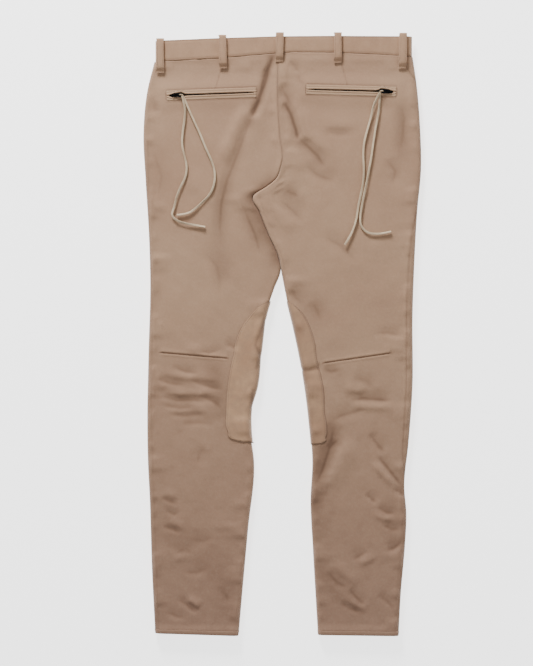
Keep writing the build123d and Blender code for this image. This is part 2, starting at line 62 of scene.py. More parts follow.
LEFT_INSEAM = [(-14, 78), (-26, 42), (-37, -30), (-43, -85), (-54, -130), (-54, -165),
               (-48, -215), (-58, -330), (-68, -440), (-73.5, -503.5)]
RIGHT_INSEAM = [(8, 58), (18, 17), (38, -85), (46, -150), (51, -215), (48, -281), (52, -365), (60, -502)]
LEFT_PATCH = [(-19, 58), (-41, 46), (-57.5, 29), (-70, 11), (-79, -10), (-83, -34), (-89, -59), (-93.5, -92),
              (-95.5, -129), (-92.5, -164), (-82, -177.5), (-49, -184)]
RIGHT_PATCH = [(8, 58), (23, 49), (37, 34), (47.6, 13), (54.7, -10), (59, -41), (66, -69), (71, -98),
               (72, -129), (76, -158), (74, -174), (66, -184), (49.6, -187)]
NAME = {-1: "left", 1: "right"}
LACE_Z = 16.9                # height of a lace that lies on the seat
LACES = {
    "left_lace_outer": [
        (-169.6, 405.6, 21), (-168, 397.5, 20), (-164.5, 383, 17.4), (-166, 364), (-169.5, 343),
        (-170.5, 322), (-166, 303), (-161.5, 286), (-164, 267), (-173.5, 250), (-180, 232), (-184, 215),
        (-188.5, 203.5), (-180, 194), (-167, 189.5), (-149, 186.5), (-131, 183)],
    "left_lace_inner": [
        (-169, 405.6, 17.6), (-164.5, 396.5, 17.4), (-158, 381, 17), (-149, 361), (-139, 340),
        (-130.5, 318), (-120.5, 297), (-114, 277), (-115, 257), (-122, 239), (-134.5, 226),
        (-148, 213.5), (-162.5, 204.5), (-179, 203.5)],
    "right_lace_inner": [
        (165.4, 411.4, 21), (161, 403, 20), (154.5, 389, 17.3), (150.5, 370), (144.5, 349),
        (138.5, 327), (137, 305), (138.5, 284), (138, 263), (134, 241), (129, 220), (126.5, 200),
        (122, 183), (115, 167), (106, 153)],
    "right_lace_outer": [
        (166, 411.4, 17.6), (165.2, 401, 17.4), (164.5, 386, 17), (161, 366), (157, 344), (153.8, 322),
        (151, 301), (147, 280), (143.2, 259), (138.5, 238), (134.5, 217), (131.5, 198), (133.5, 183),
        (145, 172.5), (160, 171), (172.5, 172.5), (184.5, 175.5)],
}
LACES = {name: [(*p, LACE_Z)[:3] for p in pts] for name, pts in LACES.items()}


def smoothstep(t):
    t = np.clip(t, 0, 1)
    return t * t * (3 - 2 * t)


def curve_y(points):
    """x as a smooth function of y through points."""
    pts = sorted((float(y), float(x)) for x, y in points)
    ys = np.array([p[0] for p in pts])
    xs = np.array([p[1] for p in pts])
    h = np.diff(ys)
    d = np.diff(xs) / h
    m = np.zeros(len(xs))
    m[1:-1] = (d[:-1] * h[1:] + d[1:] * h[:-1]) / (h[:-1] + h[1:])
    m[0], m[-1] = d[0], d[-1]

    def at(y):
        y = np.clip(np.asarray(y, float), ys[0], ys[-1])
        i = np.clip(np.searchsorted(ys, y) - 1, 0, len(ys) - 2)
        t = (y - ys[i]) / h[i]
        a, b = 2 * t ** 3 - 3 * t ** 2 + 1, t ** 3 - 2 * t ** 2 + t
        c, e = -2 * t ** 3 + 3 * t ** 2, t ** 3 - t ** 2
        return a * xs[i] + b * h[i] * m[i] + c * xs[i + 1] + e * h[i] * m[i + 1]
    return at


def curve_x(points):
    """y as a function of x by straight lines through points."""
    xs, ys = np.array(points, float).T
    return lambda x: np.interp(x, xs, ys)


seam_y, top_y = curve_x(WAIST_SEAM), curve_x(WAIST_TOP)
OUTER = {-1: curve_y(LEFT_OUTER), 1: curve_y(RIGHT_OUTER)}
INNER = {-1: curve_y(CENTRE + LEFT_INSEAM), 1: curve_y(CENTRE + RIGHT_INSEAM)}
PATCH = {-1: curve_y(LEFT_PATCH), 1: curve_y(RIGHT_PATCH)}


def edge_distances(side, x, y):
    """Distance across to a leg's outer and inner edge."""
    return np.abs(x - OUTER[side](y)), np.abs(x - INNER[side](y))


def share_at(side, x, y):
    """How far across a skin a point is, from 0 at the outer edge to 1 at the inner edge."""
    outer, inner = OUTER[side](y), INNER[side](y)
    return np.clip((x - outer) / (inner - outer), 0, 1)


def hem_y(side, x):
    if side < 0:
        return np.interp(x, [-217, -73.5], [-500, -503.5])
    return np.interp(x, [60, 198.5], [-502, -504])


POCKET = {-1: ((-120.3, 409.0), 2.1, 1), 1: ((117.0, 414.8), -1.5, -1)}


def pocket_uv(side, x, y):
    """Place in a pocket's own directions: u along the zip towards the centre, v towards the waist."""
    (mx, my), slope, towards = POCKET[side]
    c, s = math.cos(math.radians(slope)), math.sin(math.radians(slope))
    return ((x - mx) * c + (y - my) * s) * towards, -(x - mx) * s + (y - my) * c


def pocket_xy(side, u, v):
    (mx, my), slope, towards = POCKET[side]
    c, s = math.cos(math.radians(slope)), math.sin(math.radians(slope))
    u = u * towards
    return mx + u * c - v * s, my + u * s + v * c


# ---- relief of the cloth -----------------------------------------------------------------------
def near_line(x, y, pts):
    """Distance to a run of straight lines, and how far along it (0 to 1) the nearest point is."""
    pts = np.array(pts, float)
    total = np.linalg.norm(np.diff(pts, axis=0), axis=1)
    starts = np.concatenate([[0], np.cumsum(total)])
    best = np.full(x.shape, 1e9)
    along = np.zeros(x.shape)
    sign = np.zeros(x.shape)
    for k in range(len(pts) - 1):
        (ax, ay), (bx, by) = pts[k], pts[k + 1]
        dx, dy = bx - ax, by - ay
        t = np.clip(((x - ax) * dx + (y - ay) * dy) / (dx * dx + dy * dy), 0, 1)
        d = np.hypot(x - ax - t * dx, y - ay - t * dy)
        side = np.sign((x - ax) * dy - (y - ay) * dx)
        new = d < best
        best = np.where(new, d, best)
        along = np.where(new, (starts[k] + t * total[k]) / starts[-1], along)
        sign = np.where(new, side, sign)
    return best, along, sign


# A fold is (height, width, points, how far each end fades in). Negative heights are creases.
FOLDS_LEFT = [
    (-2.0, 4.5, [(-14, 478), (-26, 447), (-36, 418)], .2),
    (-3.0, 4.5, [(-24, 455), (-31, 428), (-42, 395), (-54, 366)], .18),
    (-1.9, 9.0, [(-44, 392), (-60, 350), (-77, 305), (-94, 262), (-104, 222), (-106, 180), (-101, 140)], .3),
    (1.8, 11.0, [(-50, 408), (-74, 362), (-94, 318), (-110, 280)], .35),
    (1.5, 10.0, [(-22, 430), (-38, 382), (-56, 335), (-74, 292)], .35),
    (-1.0, 8.0, [(-140, 150), (-112, 118), (-106, 92), (-110, 60)], .4),
    (-1.2, 8.0, [(-214, 400), (-217, 385), (-204, 380)], .4),
    (-1.0, 16.0, [(-226, 330), (-205, 270), (-214, 215)], .4),
    (1.0, 15.0, [(-180, 290), (-140, 240), (-136, 180)], .4),
    (-1.9, 10.0, [(-70, 226), (-62, 205), (-47, 172), (-34, 128)], .4),
    (-1.5, 5.0, [(-100, -16), (-86, -18), (-74, -26)], .4),
    (-1.3, 5.0, [(-150, -26), (-124, -30), (-98, -22)], .4),
    (1.1, 7.0, [(-180, -22), (-140, -27), (-100, -34)], .4),
    (-1.5, 4.5, [(-190, -52), (-165, -62), (-140, -66)], .4),
    (1.0, 6.0, [(-216, -58), (-180, -70), (-130, -76), (-100, -74)], .35),
    (-1.5, 4.5, [(-160, -76), (-130, -86), (-98, -94)], .35),
    (-1.3, 4.5, [(-216, -74), (-190, -82), (-160, -86)], .35),
    (-1.6, 4.5, [(-212, -104), (-180, -111), (-150, -110), (-122, -114)], .35),
    (1.2, 5.0, [(-206, -96), (-172, -101), (-130, -100), (-102, -106)], .35),
    (-1.3, 4.5, [(-206, -118), (-176, -124), (-146, -122)], .35),
    (-1.4, 4.5, [(-140, -104), (-118, -112), (-100, -126)], .35),
    (-1.1, 4.5, [(-196, -134), (-168, -137), (-128, -133)], .35),
    (1.0, 6.0, [(-200, -128), (-160, -131), (-110, -126)], .35),
    (-1.0, 6.0, [(-180, -150), (-140, -148), (-110, -152)], .4),
    (-1.0, 9.0, [(-130, -186), (-142, -205), (-146, -226)], .4),
    (1.1, 6.0, [(-208, -268), (-190, -276), (-172, -276)], .4),
    (-1.6, 4.5, [(-206, -275), (-192, -282), (-176, -288)], .4),
    (-1.3, 5.0, [(-200, -296), (-184, -304), (-172, -300)], .4),
    (-1.6, 4.5, [(-204, -326), (-186, -330), (-170, -338)], .4),
    (1.0, 6.0, [(-200, -318), (-178, -324), (-158, -330)], .4),
    (-1.1, 7.0, [(-160, -345), (-135, -350), (-112, -342)], .4),
    (-1.0, 7.0, [(-190, -372), (-164, -364), (-150, -372)], .4),
    (1.1, 8.0, [(-192, -384), (-168, -376), (-150, -384)], .4),
    (-1.0, 6.0, [(-176, -400), (-148, -404), (-118, -392)], .4),
    (-1.7, 4.5, [(-182, -448), (-166, -455), (-152, -468), (-142, -474)], .35),
    (1.6, 5.0, [(-166, -447), (-150, -456), (-136, -464)], .35),
    (-1.2, 5.0, [(-200, -470), (-178, -478), (-160, -480)], .4),
    (-1.2, 7.0, [(-112, -430), (-96, -442), (-90, -460)], .4),
]
FOLDS_RIGHT = [
    (-1.5, 9.0, [(-6, 424), (8, 404), (16, 385)], .4),
    (-2.8, 5.0, [(2, 397), (14, 376), (23, 348), (27, 328)], .2),
    (-2.2, 8.0, [(27, 334), (42, 322), (60, 304), (74, 282)], .3),
    (1.7, 9.0, [(12, 402), (30, 368), (40, 340), (66, 318), (88, 290)], .35),
    (-1.3, 6.0, [(26, 446), (30, 432), (40, 424)], .4),
    (-1.1, 6.0, [(10, 468), (22, 457), (32, 441)], .4),
    (-1.5, 9.0, [(36, 290), (60, 272), (92, 258)], .4),
    (1.2, 10.0, [(14, 326), (20, 296), (44, 278)], .4),
    (-1.6, 9.0, [(2, 246), (20, 240), (32, 232)], .45),
    (-1.4, 10.0, [(-8, 232), (14, 214), (40, 190)], .4),
    (1.2, 10.0, [(-24, 224), (-2, 196), (24, 172)], .4),
    (-1.2, 9.0, [(66, 170), (100, 152), (130, 120)], .4),
    (-1.0, 7.0, [(70, 348), (96, 342), (122, 342)], .4),
    (1.0, 9.0, [(62, 358), (98, 354), (134, 356)], .4),
    (-1.4, 9.0, [(176, 300), (192, 278), (186, 250)], .4),
    (-1.4, 9.0, [(200, 396), (207, 368), (204, 330), (196, 300)], .4),
    (-1.2, 9.0, [(10, 84), (24, 62), (42, 48)], .45),
    (-1.1, 9.0, [(48, 60), (60, 40), (66, 20)], .45),
    (-1.2, 5.0, [(150, 2), (180, 4), (210, -2)], .4),
    (-1.8, 4.5, [(66, -48), (58, -56), (44, -60)], .4),
    (-1.3, 5.0, [(68, -58), (84, -62), (100, -58)], .4),
    (-1.2, 8.0, [(118, -70), (146, -80), (160, -92)], .4),
    (-2.0, 6.0, [(112, -112), (136, -108), (164, -110), (194, -112)], .3),
    (1.3, 7.0, [(106, -124), (140, -122), (192, -124)], .35),
    (-1.5, 7.0, [(78, -150), (98, -138), (126, -130), (146, -126)], .35),
    (1.2, 7.0, [(100, -86), (122, -94), (150, -102)], .4),
    (-2.1, 14.0, [(90, -146), (82, -186), (68, -230), (54, -262)], .3),
    (-2.0, 8.0, [(72, -188), (84, -186), (98, -176)], .4),
    (1.9, 12.0, [(118, -166), (104, -196), (86, -234), (68, -268)], .35),
    (-1.9, 5.5, [(148, -166), (160, -184), (176, -202)], .3),
    (-2.4, 5.5, [(160, -204), (176, -222), (190, -240), (205, -258)], .25),
    (1.6, 6.0, [(150, -214), (170, -236), (192, -260)], .35),
    (-1.6, 6.0, [(186, -262), (200, -266), (208, -278)], .4),
    (-1.7, 4.5, [(140, -270), (152, -278), (160, -288)], .4),
    (-1.6, 4.5, [(160, -292), (178, -302), (196, -304)], .4),
    (1.2, 5.0, [(150, -300), (170, -312), (198, -314)], .4),
    (-1.4, 4.5, [(168, -322), (186, -330), (202, -330)], .4),
    (-1.9, 4.5, [(176, -366), (190, -362), (204, -350)], .35),
    (-1.4, 6.0, [(118, -384), (132, -374), (146, -366)], .4),
    (1.2, 6.0, [(126, -392), (144, -384), (164, -372)], .4),
    (-1.7, 7.0, [(74, -400), (92, -420), (116, -432)], .35),
    (1.3, 8.0, [(84, -384), (108, -408), (132, -428)], .35),
    (-1.6, 5.5, [(112, -430), (126, -446), (142, -462)], .35),
    (-1.4, 5.0, [(96, -452), (114, -464), (138, -474)], .35),
    (1.2, 5.5, [(100, -444), (122, -458), (148, -470)], .35),
    (-1.4, 5.0, [(160, -440), (178, -452), (192, -468)], .4),
]
DART_LEFT = [(-208.6, -30), (-92, -40)]
DART_RIGHT = [(69, -48), (185, -31)]
# Sewn lines: (points, depth, half width, height of the raised lip beside it)
SEWN_LEFT = [(DART_LEFT, 1.5, 0.9, 0.5), ([(-102.5, 455), (-113.6, 419)], 0.7, 0.8, 0.25),
             ([(-229, 330), (-226, 200), (-221, 60), (-222, -160), (-216, -330), (-210, -500)], 0.35, 0.8, 0.1)]
SEWN_RIGHT = [(DART_RIGHT, 1.5, 0.9, 0.5), ([(100.5, 462), (110, 425)], 0.7, 0.8, 0.25),
              ([(228, 209), (221, 177), (215, 128), (212, 63), (211, 11), (211, -78), (207, -148), (204, -200),
                (209, -252)], 0.8, 0.9, 0.3),
              ([(212, 452), (228, 430)], 0.9, 0.9, 0.4),
              ([(-40, 241), (-31, 208), (-16, 170), (0, 131), (4, 112)], 0.5, 0.7, 0.2)]


FOLDS = {-1: FOLDS_LEFT, 1: FOLDS_RIGHT}
SEWN = {-1: SEWN_LEFT, 1: SEWN_RIGHT}

# Broad soft shading between the folds: (amount, width, points)
SHADES = {-1: [(0.40, 9, [(-20, 470), (-28, 436), (-42, 396), (-56, 360)]),
               (0.22, 16, [(-98, 250), (-106, 200), (-106, 150), (-100, 105)]),
               (0.34, 17, [(-116, -62), (-108, -100), (-104, -132)]), (0.16, 24, [(-190, -70), (-160, -110)]),
               (0.16, 30, [(-160, -350), (-120, -395)]), (0.16, 22, [(-96, -420), (-92, -470)]),
               (0.18, 20, [(-200, -290), (-190, -340)])],
          1: [(0.42, 18, [(80, -158), (68, -200), (57, -245), (50, -278)]), (0.22, 24, [(58, -290), (62, -340)]),
              (0.26, 18, [(66, -396), (86, -428), (124, -462)]), (0.18, 20, [(184, -300), (190, -350)]),
              (0.24, 11, [(78, -60), (96, -64)]), (0.18, 18, [(118, -92), (156, -100)]),
              (0.22, 12, [(6, 402), (20, 362), (28, 330)]), (0.18, 16, [(36, 322), (84, 280)]),
              (0.26, 12, [(0, 246), (26, 232)]), (0.18, 18, [(30, 74), (62, 34)]),
              (0.2, 14, [(200, 380), (204, 310)])]}
FOLD_GAIN = 1.9              # scales the fold heights
SHARP = 2.4                  # half width of the line along a crease's bottom
DEEPEST = 3.9                # no crease goes further below the skin
DARKEST = 0.8                # share of the shade colour in the darkest place


def faded(along, fade):
    """1 along a line, falling to 0 over a share of its length at each end."""
    return smoothstep(along / fade) * smoothstep((1 - along) / fade)


def darkness(side, x, y):
    """How much a point lies in the shade of a crease or seam, from 0 to 1."""
    dark = np.zeros(x.shape)
    for amount, width, pts in SHADES[side]:
        dark += amount * np.exp(-(near_line(x, y, pts)[0] / width) ** 2)
    for height, width, pts, fade in FOLDS[side]:
        d, along, s = near_line(x, y, pts)
        ends = faded(along, fade)
        if height < 0:
            dark += -height * ends * (0.14 * np.exp(-(d / width) ** 2) + 0.15 * np.exp(-(d / SHARP) ** 2))
        else:
            dark -= 0.05 * height * ends * np.exp(-(d / width) ** 2)
    calf = smoothstep((-30 - y) / 90)
    dark += 0.10 * (0.4 + calf) * waves(x * 0.75, y * 1.3, 31 + side, 22.0) * (0.5 + 0.5 * calf)
    for pts, depth, half, _ in SEWN[side]:
        d = near_line(x, y, pts)[0]
        dark += 0.5 * min(depth, 1.3) * np.exp(-(d / (half + 0.3)) ** 2)
    d_out, d_in = edge_distances(side, x, y)
    dark += 0.22 * np.exp(-(d_out / 9.0) ** 2) + 0.3 * np.exp(-(d_out / 2.5) ** 2)
    under = smoothstep((y - 100) / 30) * smoothstep((285 - y) / 30)
    if side < 0:
        dark += under * (0.5 * np.exp(-(d_in / 13.0) ** 2) + 0.25 * np.exp(-(d_in / 30.0) ** 2))
    dark += (1 - under) * 0.3 * np.exp(-(d_in / 2.2) ** 2)
    dark += 0.35 * np.exp(-((seam_y(x) - y) / 3.5) ** 2)
    u, v = pocket_uv(side, x, y)
    ends = smoothstep((79 - np.abs(u)) / 4)
    dark += 0.6 * ends * np.exp(-((np.abs(v) - 9.2) / 1.6) ** 2)
    return np.clip(dark, -0.15, 1)


def waves(x, y, seed, size):
    """Slow uneven swells, the same on every run."""
    rng = np.random.default_rng(seed)
    z = np.zeros(x.shape)
    for _ in range(14):
        a = rng.uniform(0, math.tau)
        f = rng.uniform(0.6, 1.9) / size
        turn = (x * math.cos(a) + y * math.sin(a)) * math.tau * f
        z += np.sin(turn + rng.uniform(0, math.tau)) / (0.7 + f * size)
    return z / 5.0


def relief(side, x, y):
    """Height that folds, swells and sewn lines add to the back skin of one side."""
    z = 0.9 * waves(x, y, 5 + side, 95.0) + 0.35 * waves(x, y, 11 + side, 34.0)
    for height, width, pts, fade in FOLDS[side]:
        d, along, s = near_line(x, y, pts)
        ends = faded(along, fade)
        w = width * np.where(s > 0, 1.0, 1.7)
        z += FOLD_GAIN * height * ends * np.exp(-(d / w) ** 2)
        if height < -1.3:
            z += 0.45 * height * ends * np.exp(-(d / SHARP) ** 2)
    for pts, depth, half, lip_high in SEWN[side]:
        d, along, s = near_line(x, y, pts)
        ends = faded(along, 0.04)
        z -= depth * ends * np.exp(-(d / half) ** 2)
        z += lip_high * ends * np.exp(-((d - 3.2) / 2.2) ** 2)
        z += lip_high * 1.5 * ends * np.where(s < 0, np.exp(-(d / 12.0) ** 2), 0) * (depth > 1)
    return z


def edge_round(d, radius):
    """0 at an edge, 1 from radius inwards, like a quarter circle."""
    t = np.clip(d / radius, 0, 1)
    return np.sqrt(np.clip(1 - (1 - t) ** 2, 0, 1))


INNER_Y = [600, 300, 262, 235, 150, 118, 96, -600]
INNER_HIGH = {-1: [14.7, 14.7, 11.4, 9.6, 9.8, 8.6, 7.0, 7.0],
              1: [14.9, 14.9, 12.4, 11.6, 11.6, 9.6, 7.0, 7.0]}
INNER_ROUND = {-1: [1.8, 1.8, 16, 34, 30, 16, 9, 9], 1: [1.2, 1.2, 4, 5.5, 5.5, 6, 9, 9]}


CLEAR, SOFT = 0.15, 0.3      # room under the moving laces, and how softly folds are cut to it


def under_laces(side, x, y):
    """The height that the skin stays under, so that the laces lie on it."""
    room = np.full(x.shape, 40.0)
    for name, pts in LACES.items():
        if name.startswith(NAME[side]):
            d = near_line(x, y, [p[:2] for p in pts[2:]])[0]
            room = np.minimum(room, 15.95 + 0.22 * np.clip(d - 5, 0, None))
    return room


def back_z(side, x, y, swell=None):
    """Upper face of the back skin."""
    d_out, d_in = edge_distances(side, x, y)
    iy = np.array(INNER_Y[::-1], float)
    e = np.interp(y, iy, INNER_HIGH[side][::-1])
    r = np.interp(y, iy, INNER_ROUND[side][::-1])
    rise = relief(side, x, y) + (0.0 if swell is None else swell)
    if side > 0:
        # The laces pass over here as their zip opens, so nothing stands up, though creases still go down.
        swept = smoothstep((178 - x) / 12) * smoothstep((y - 120) / 20) * smoothstep((408 - y) / 10)
        low = -CLEAR - SOFT * np.log1p(np.exp(np.clip(-(rise + CLEAR) / SOFT, -40, 40)))
        rise = rise * (1 - swept) + low * swept
    full = BACK_TOP + np.where(rise < 0, -DEEPEST * np.tanh(-rise / DEEPEST), rise)
    hold = smoothstep(np.interp(y, [440, 475], [0, 1]))
    full = full * (1 - hold) + (BACK_TOP + 0.25 * (full - BACK_TOP)) * hold
    room = under_laces(side, x, y)
    full = np.where(full > room - 0.5, room - 0.5 * np.exp(-(full - room + 0.5) / 0.5), full)
    z = e + (full - e) * edge_round(d_in, r)
    return SEAM_Z + (z - SEAM_Z) * edge_round(d_out, 11.0)


def front_z(side, x, y):
    """Lower face of the front skin."""
    d_out, d_in = edge_distances(side, x, y)
    iy = np.array(INNER_Y[::-1], float)
    e = np.interp(y, iy, [7.0, 7.0, 5.0, 3.2, 2.6, 2.2, 1.9, 1.9])
    r = np.interp(y, iy, [9, 9, 8, 7, 6, 5, 3, 3])
    full = FRONT_Z + 0.35 + 0.25 * waves(x, y, 31 + side, 60.0)
    z = e + (full - e) * edge_round(d_in, r)
    return SEAM_Z + (z - SEAM_Z) * edge_round(d_out, 9.0)


# ---- mesh helpers ------------------------------------------------------------------------------
def add_mesh(name, verts, faces, material, body, smooth=True):
    mesh = bpy.data.meshes.new(name)
    mesh.from_pydata((np.asarray(verts, float) * MM).tolist(), [], faces)
    mesh.update()
    obj = bpy.data.objects.new(name, mesh)
    bpy.context.scene.collection.objects.link(obj)
    mesh.materials.append(material)
    if smooth:
        mesh.polygons.foreach_set("use_smooth", [True] * len(mesh.polygons))
    if body:
        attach(obj, body)
    return obj


def grid_faces(rows, cols, keep=None):
    faces = []
    for j in range(rows - 1):
        for i in range(cols - 1):
            if keep is None or keep[j, i]:
                a = j * cols + i
                faces.append((a, a + 1, a + cols + 1, a + cols))
    return faces


def add_grid(name, X, Y, Z, material, body, thick, up=True, keep=None, dark=None):
    """A sheet over a grid of points, thickened away from its outer face."""
    rows, cols = X.shape
    verts = np.stack([X, Y, Z], axis=-1).reshape(-1, 3)
    faces = grid_faces(rows, cols, keep)
    a, b, c = (verts[faces[len(faces) // 2][k]] for k in range(3))
    turned = np.cross(b - a, c - a)[2] > 0
    if turned != up:
        faces = [f[::-1] for f in faces]
    obj = add_mesh(name, verts, faces, material, body)
    if dark is not None:
        shade = obj.data.attributes.new("shade", "FLOAT", "POINT")
        shade.data.foreach_set("value", np.asarray(dark, np.float32).reshape(-1))
    wall = obj.modifiers.new("wall", "SOLIDIFY")
    wall.thickness = thick * MM
    wall.offset = -1
    wall.use_even_offset = False
    return obj


def loft(name, rings, material, body, closed_ends=True):
    """A closed skin through rings of points."""
    n = len(rings[0])
    verts = [p for ring in rings for p in ring]
    faces = []
    for k in range(len(rings) - 1):
        for i in range(n):
            a, b = k * n + i, k * n + (i + 1) % n
            faces.append((a, b, b + n, a + n))
    if closed_ends:
        faces.append(tuple(range(n))[::-1])
        last = (len(rings) - 1) * n
        faces.append(tuple(last + i for i in range(n)))
    obj = add_mesh(name, verts, faces, material, body)
    bm = bmesh.new()
    bm.from_mesh(obj.data)
    bmesh.ops.recalc_face_normals(bm, faces=bm.faces)
    bm.to_mesh(obj.data)
    bm.free()
    for p in obj.data.polygons:
        if len(p.vertices) > 4:
            p.use_smooth = False
    return obj


# ---- materials ---------------------------------------------------------------------------------
def new_material(name):
    m = bpy.data.materials.new(name)
    m.use_nodes = True
    nt = m.node_tree
    nt.nodes.clear()
    out = nt.nodes.new("ShaderNodeOutputMaterial")
    bsdf = nt.nodes.new("ShaderNodeBsdfPrincipled")
    nt.links.new(bsdf.outputs[0], out.inputs[0])
    return m, nt, bsdf


def srgb(r, g, b):
    return tuple(((c / 255) / 12.92 if c <= 10 else ((c / 255 + 0.055) / 1.055) ** 2.4) for c in (r, g, b)) + (1,)


def noise(nt, co, scale, detail=4.0, rough=0.55):
    n = nt.nodes.new("ShaderNodeTexNoise")
    n.inputs["Scale"].default_value = scale
    n.inputs["Detail"].default_value = detail
    n.inputs["Roughness"].default_value = rough
    nt.links.new(co, n.inputs["Vector"])
    return n.outputs["Fac"]


def wave(nt, co, scale, rotate=0.0, distortion=0.0):
    m = nt.nodes.new("ShaderNodeMapping")
    m.inputs["Rotation"].default_value = (0, 0, rotate)
    nt.links.new(co, m.inputs["Vector"])
    w = nt.nodes.new("ShaderNodeTexWave")
    w.inputs["Scale"].default_value = scale
    w.inputs["Distortion"].default_value = distortion
    w.inputs["Detail"].default_value = 1.0
    nt.links.new(m.outputs[0], w.inputs["Vector"])
    return w.outputs["Fac"]


def mix(nt, fac, a, b, kind="MIX", amount=None):
    n = nt.nodes.new("ShaderNodeMix")
    n.data_type = "RGBA"
    n.blend_type = kind
    if amount is None:
        nt.links.new(fac, n.inputs[0])
    else:
        n.inputs[0].default_value = amount
    for socket, v in ((n.inputs[6], a), (n.inputs[7], b)):
        if isinstance(v, tuple):
            socket.default_value = v
        else:
            nt.links.new(v, socket)
    return n.outputs[2]


def ramp(nt, fac, low, high, a=0.0, b=1.0):
    n = nt.nodes.new("ShaderNodeMapRange")
    n.inputs[1].default_value = low
    n.inputs[2].default_value = high
    n.inputs[3].default_value = a
    n.inputs[4].default_value = b
    nt.links.new(fac, n.inputs[0])
    return n.outputs[0]


def total(nt, a, b, kb=1.0):
    n = nt.nodes.new("ShaderNodeMath")
    n.operation = "MULTIPLY_ADD"
    nt.links.new(b, n.inputs[0])
    n.inputs[1].default_value = kb
    nt.links.new(a, n.inputs[2])
    return n.outputs[0]


def bump(nt, bsdf, height, strength, distance):
    b = nt.nodes.new("ShaderNodeBump")
    b.inputs["Strength"].default_value = strength
    b.inputs["Distance"].default_value = distance
    nt.links.new(height, b.inputs["Height"])
    nt.links.new(b.outputs[0], bsdf.inputs["Normal"])


def coordinates(nt):
    return nt.nodes.new("ShaderNodeTexCoord").outputs["Object"]


def shaded(nt, colour):
    """The colour, darkened by the mesh's shade value."""
    value = nt.nodes.new("ShaderNodeAttribute")
    value.attribute_name = "shade"
    return mix(nt, ramp(nt, value.outputs["Fac"], 0, 1, 0, DARKEST), colour, srgb(84, 58, 42))


def separate(nt, co):
    sep = nt.nodes.new("ShaderNodeSeparateXYZ")
    nt.links.new(co, sep.inputs[0])
    return sep.outputs


def cloth_material(name, base, shade, hi, twill=230.0, hem_shade=True, sheen=0.25, rough=(0.78, 0.92)):
    m, nt, bsdf = new_material(name)
    co = coordinates(nt)
    broad = noise(nt, co, 5.5, 3)
    patchy = noise(nt, co, 26, 4)
    fine = noise(nt, co, 900, 2)
    slub = noise(nt, co, 210, 3)
    diag = wave(nt, co, twill, rotate=math.radians(28), distortion=0.6)
    colour = mix(nt, ramp(nt, broad, 0.35, 0.68), shade, base)
    colour = mix(nt, ramp(nt, patchy, 0.4, 0.75, 0, 0.15), colour, hi)
    if hem_shade:
        down = ramp(nt, separate(nt, co)[1], 0.02, -0.5, 0, 0.85)
        colour = mix(nt, down, colour, srgb(146, 114, 95))
    colour = mix(nt, ramp(nt, diag, 0.0, 1.0, 0, 0.16), colour, srgb(92, 70, 54))
    colour = mix(nt, ramp(nt, slub, 0.45, 0.8, 0, 0.08), colour, srgb(205, 184, 160))
    nt.links.new(shaded(nt, colour), bsdf.inputs["Base Color"])
    nt.links.new(ramp(nt, patchy, 0.3, 0.7, *rough), bsdf.inputs["Roughness"])
    bsdf.inputs["Sheen Weight"].default_value = sheen
    bsdf.inputs["Sheen Roughness"].default_value = 0.5
    bsdf.inputs["Specular IOR Level"].default_value = 0.25
    h = total(nt, total(nt, diag, fine, 0.5), slub, 0.4)
    bump(nt, bsdf, h, 0.4, 0.0004)
    return m


def suede_material():
    m, nt, bsdf = new_material("suede")
    co = coordinates(nt)
    broad, mid, nap = noise(nt, co, 22, 5), noise(nt, co, 95, 5, 0.65), noise(nt, co, 1500, 3)
    colour = mix(nt, ramp(nt, broad, 0.35, 0.65), srgb(160, 120, 88), srgb(184, 146, 110))
    colour = mix(nt, ramp(nt, mid, 0.42, 0.7, 0, 0.5), colour, srgb(144, 112, 88))
    colour = mix(nt, ramp(nt, nap, 0.3, 0.7, 0, 0.2), colour, srgb(196, 166, 138))
    colour = mix(nt, ramp(nt, separate(nt, co)[0], -0.01, 0.01, 0, 0.4), colour, srgb(136, 100, 76))
    nt.links.new(shaded(nt, colour), bsdf.inputs["Base Color"])
    nt.links.new(ramp(nt, mid, 0.3, 0.7, 0.86, 0.98), bsdf.inputs["Roughness"])
    bsdf.inputs["Sheen Weight"].default_value = 0.45
    bsdf.inputs["Sheen Roughness"].default_value = 0.6
    bsdf.inputs["Specular IOR Level"].default_value = 0.15
    bump(nt, bsdf, total(nt, nap, mid, 1.5), 0.3, 0.0004)
    return m


def leather_material():
    m, nt, bsdf = new_material("thong")
    co = coordinates(nt)
    long_grain, pores = noise(nt, co, 90, 4), noise(nt, co, 1300, 3)
    colour = mix(nt, ramp(nt, long_grain, 0.3, 0.7), srgb(184, 160, 130), srgb(204, 184, 154))
    colour = mix(nt, ramp(nt, pores, 0.45, 0.8, 0, 0.35), colour, srgb(150, 124, 98))
    nt.links.new(colour, bsdf.inputs["Base Color"])
    nt.links.new(ramp(nt, long_grain, 0.3, 0.7, 0.55, 0.8), bsdf.inputs["Roughness"])
    bump(nt, bsdf, pores, 0.3, 0.0002)
    return m


def metal_material(name, scale, colours, limits, metallic, rough, strength):
    m, nt, bsdf = new_material(name)
    # Lighter patches: worn paint on the black metal, which also stands in as its painted highlight; on the steel,
    # uneven tone.
    wear_and_highlight = noise(nt, coordinates(nt), scale, 4)
    nt.links.new(mix(nt, ramp(nt, wear_and_highlight, *limits), *colours), bsdf.inputs["Base Color"])
    bsdf.inputs["Metallic"].default_value = metallic
    nt.links.new(ramp(nt, wear_and_highlight, 0.3, 0.7, *rough), bsdf.inputs["Roughness"])
    bump(nt, bsdf, wear_and_highlight, strength, 0.0001)
    return m


def tape_material():
    m, nt, bsdf = new_material("zip_tape")
    co = coordinates(nt)
    rib, fuzz = wave(nt, co, 420, rotate=math.radians(90)), noise(nt, co, 900, 3)
    colour = mix(nt, ramp(nt, total(nt, rib, fuzz, 0.5), 0.2, 1.2), srgb(10, 10, 11), srgb(34, 34, 36))
    nt.links.new(colour, bsdf.inputs["Base Color"])
    bsdf.inputs["Roughness"].default_value = 0.85
    bump(nt, bsdf, rib, 0.4, 0.0002)
    return m


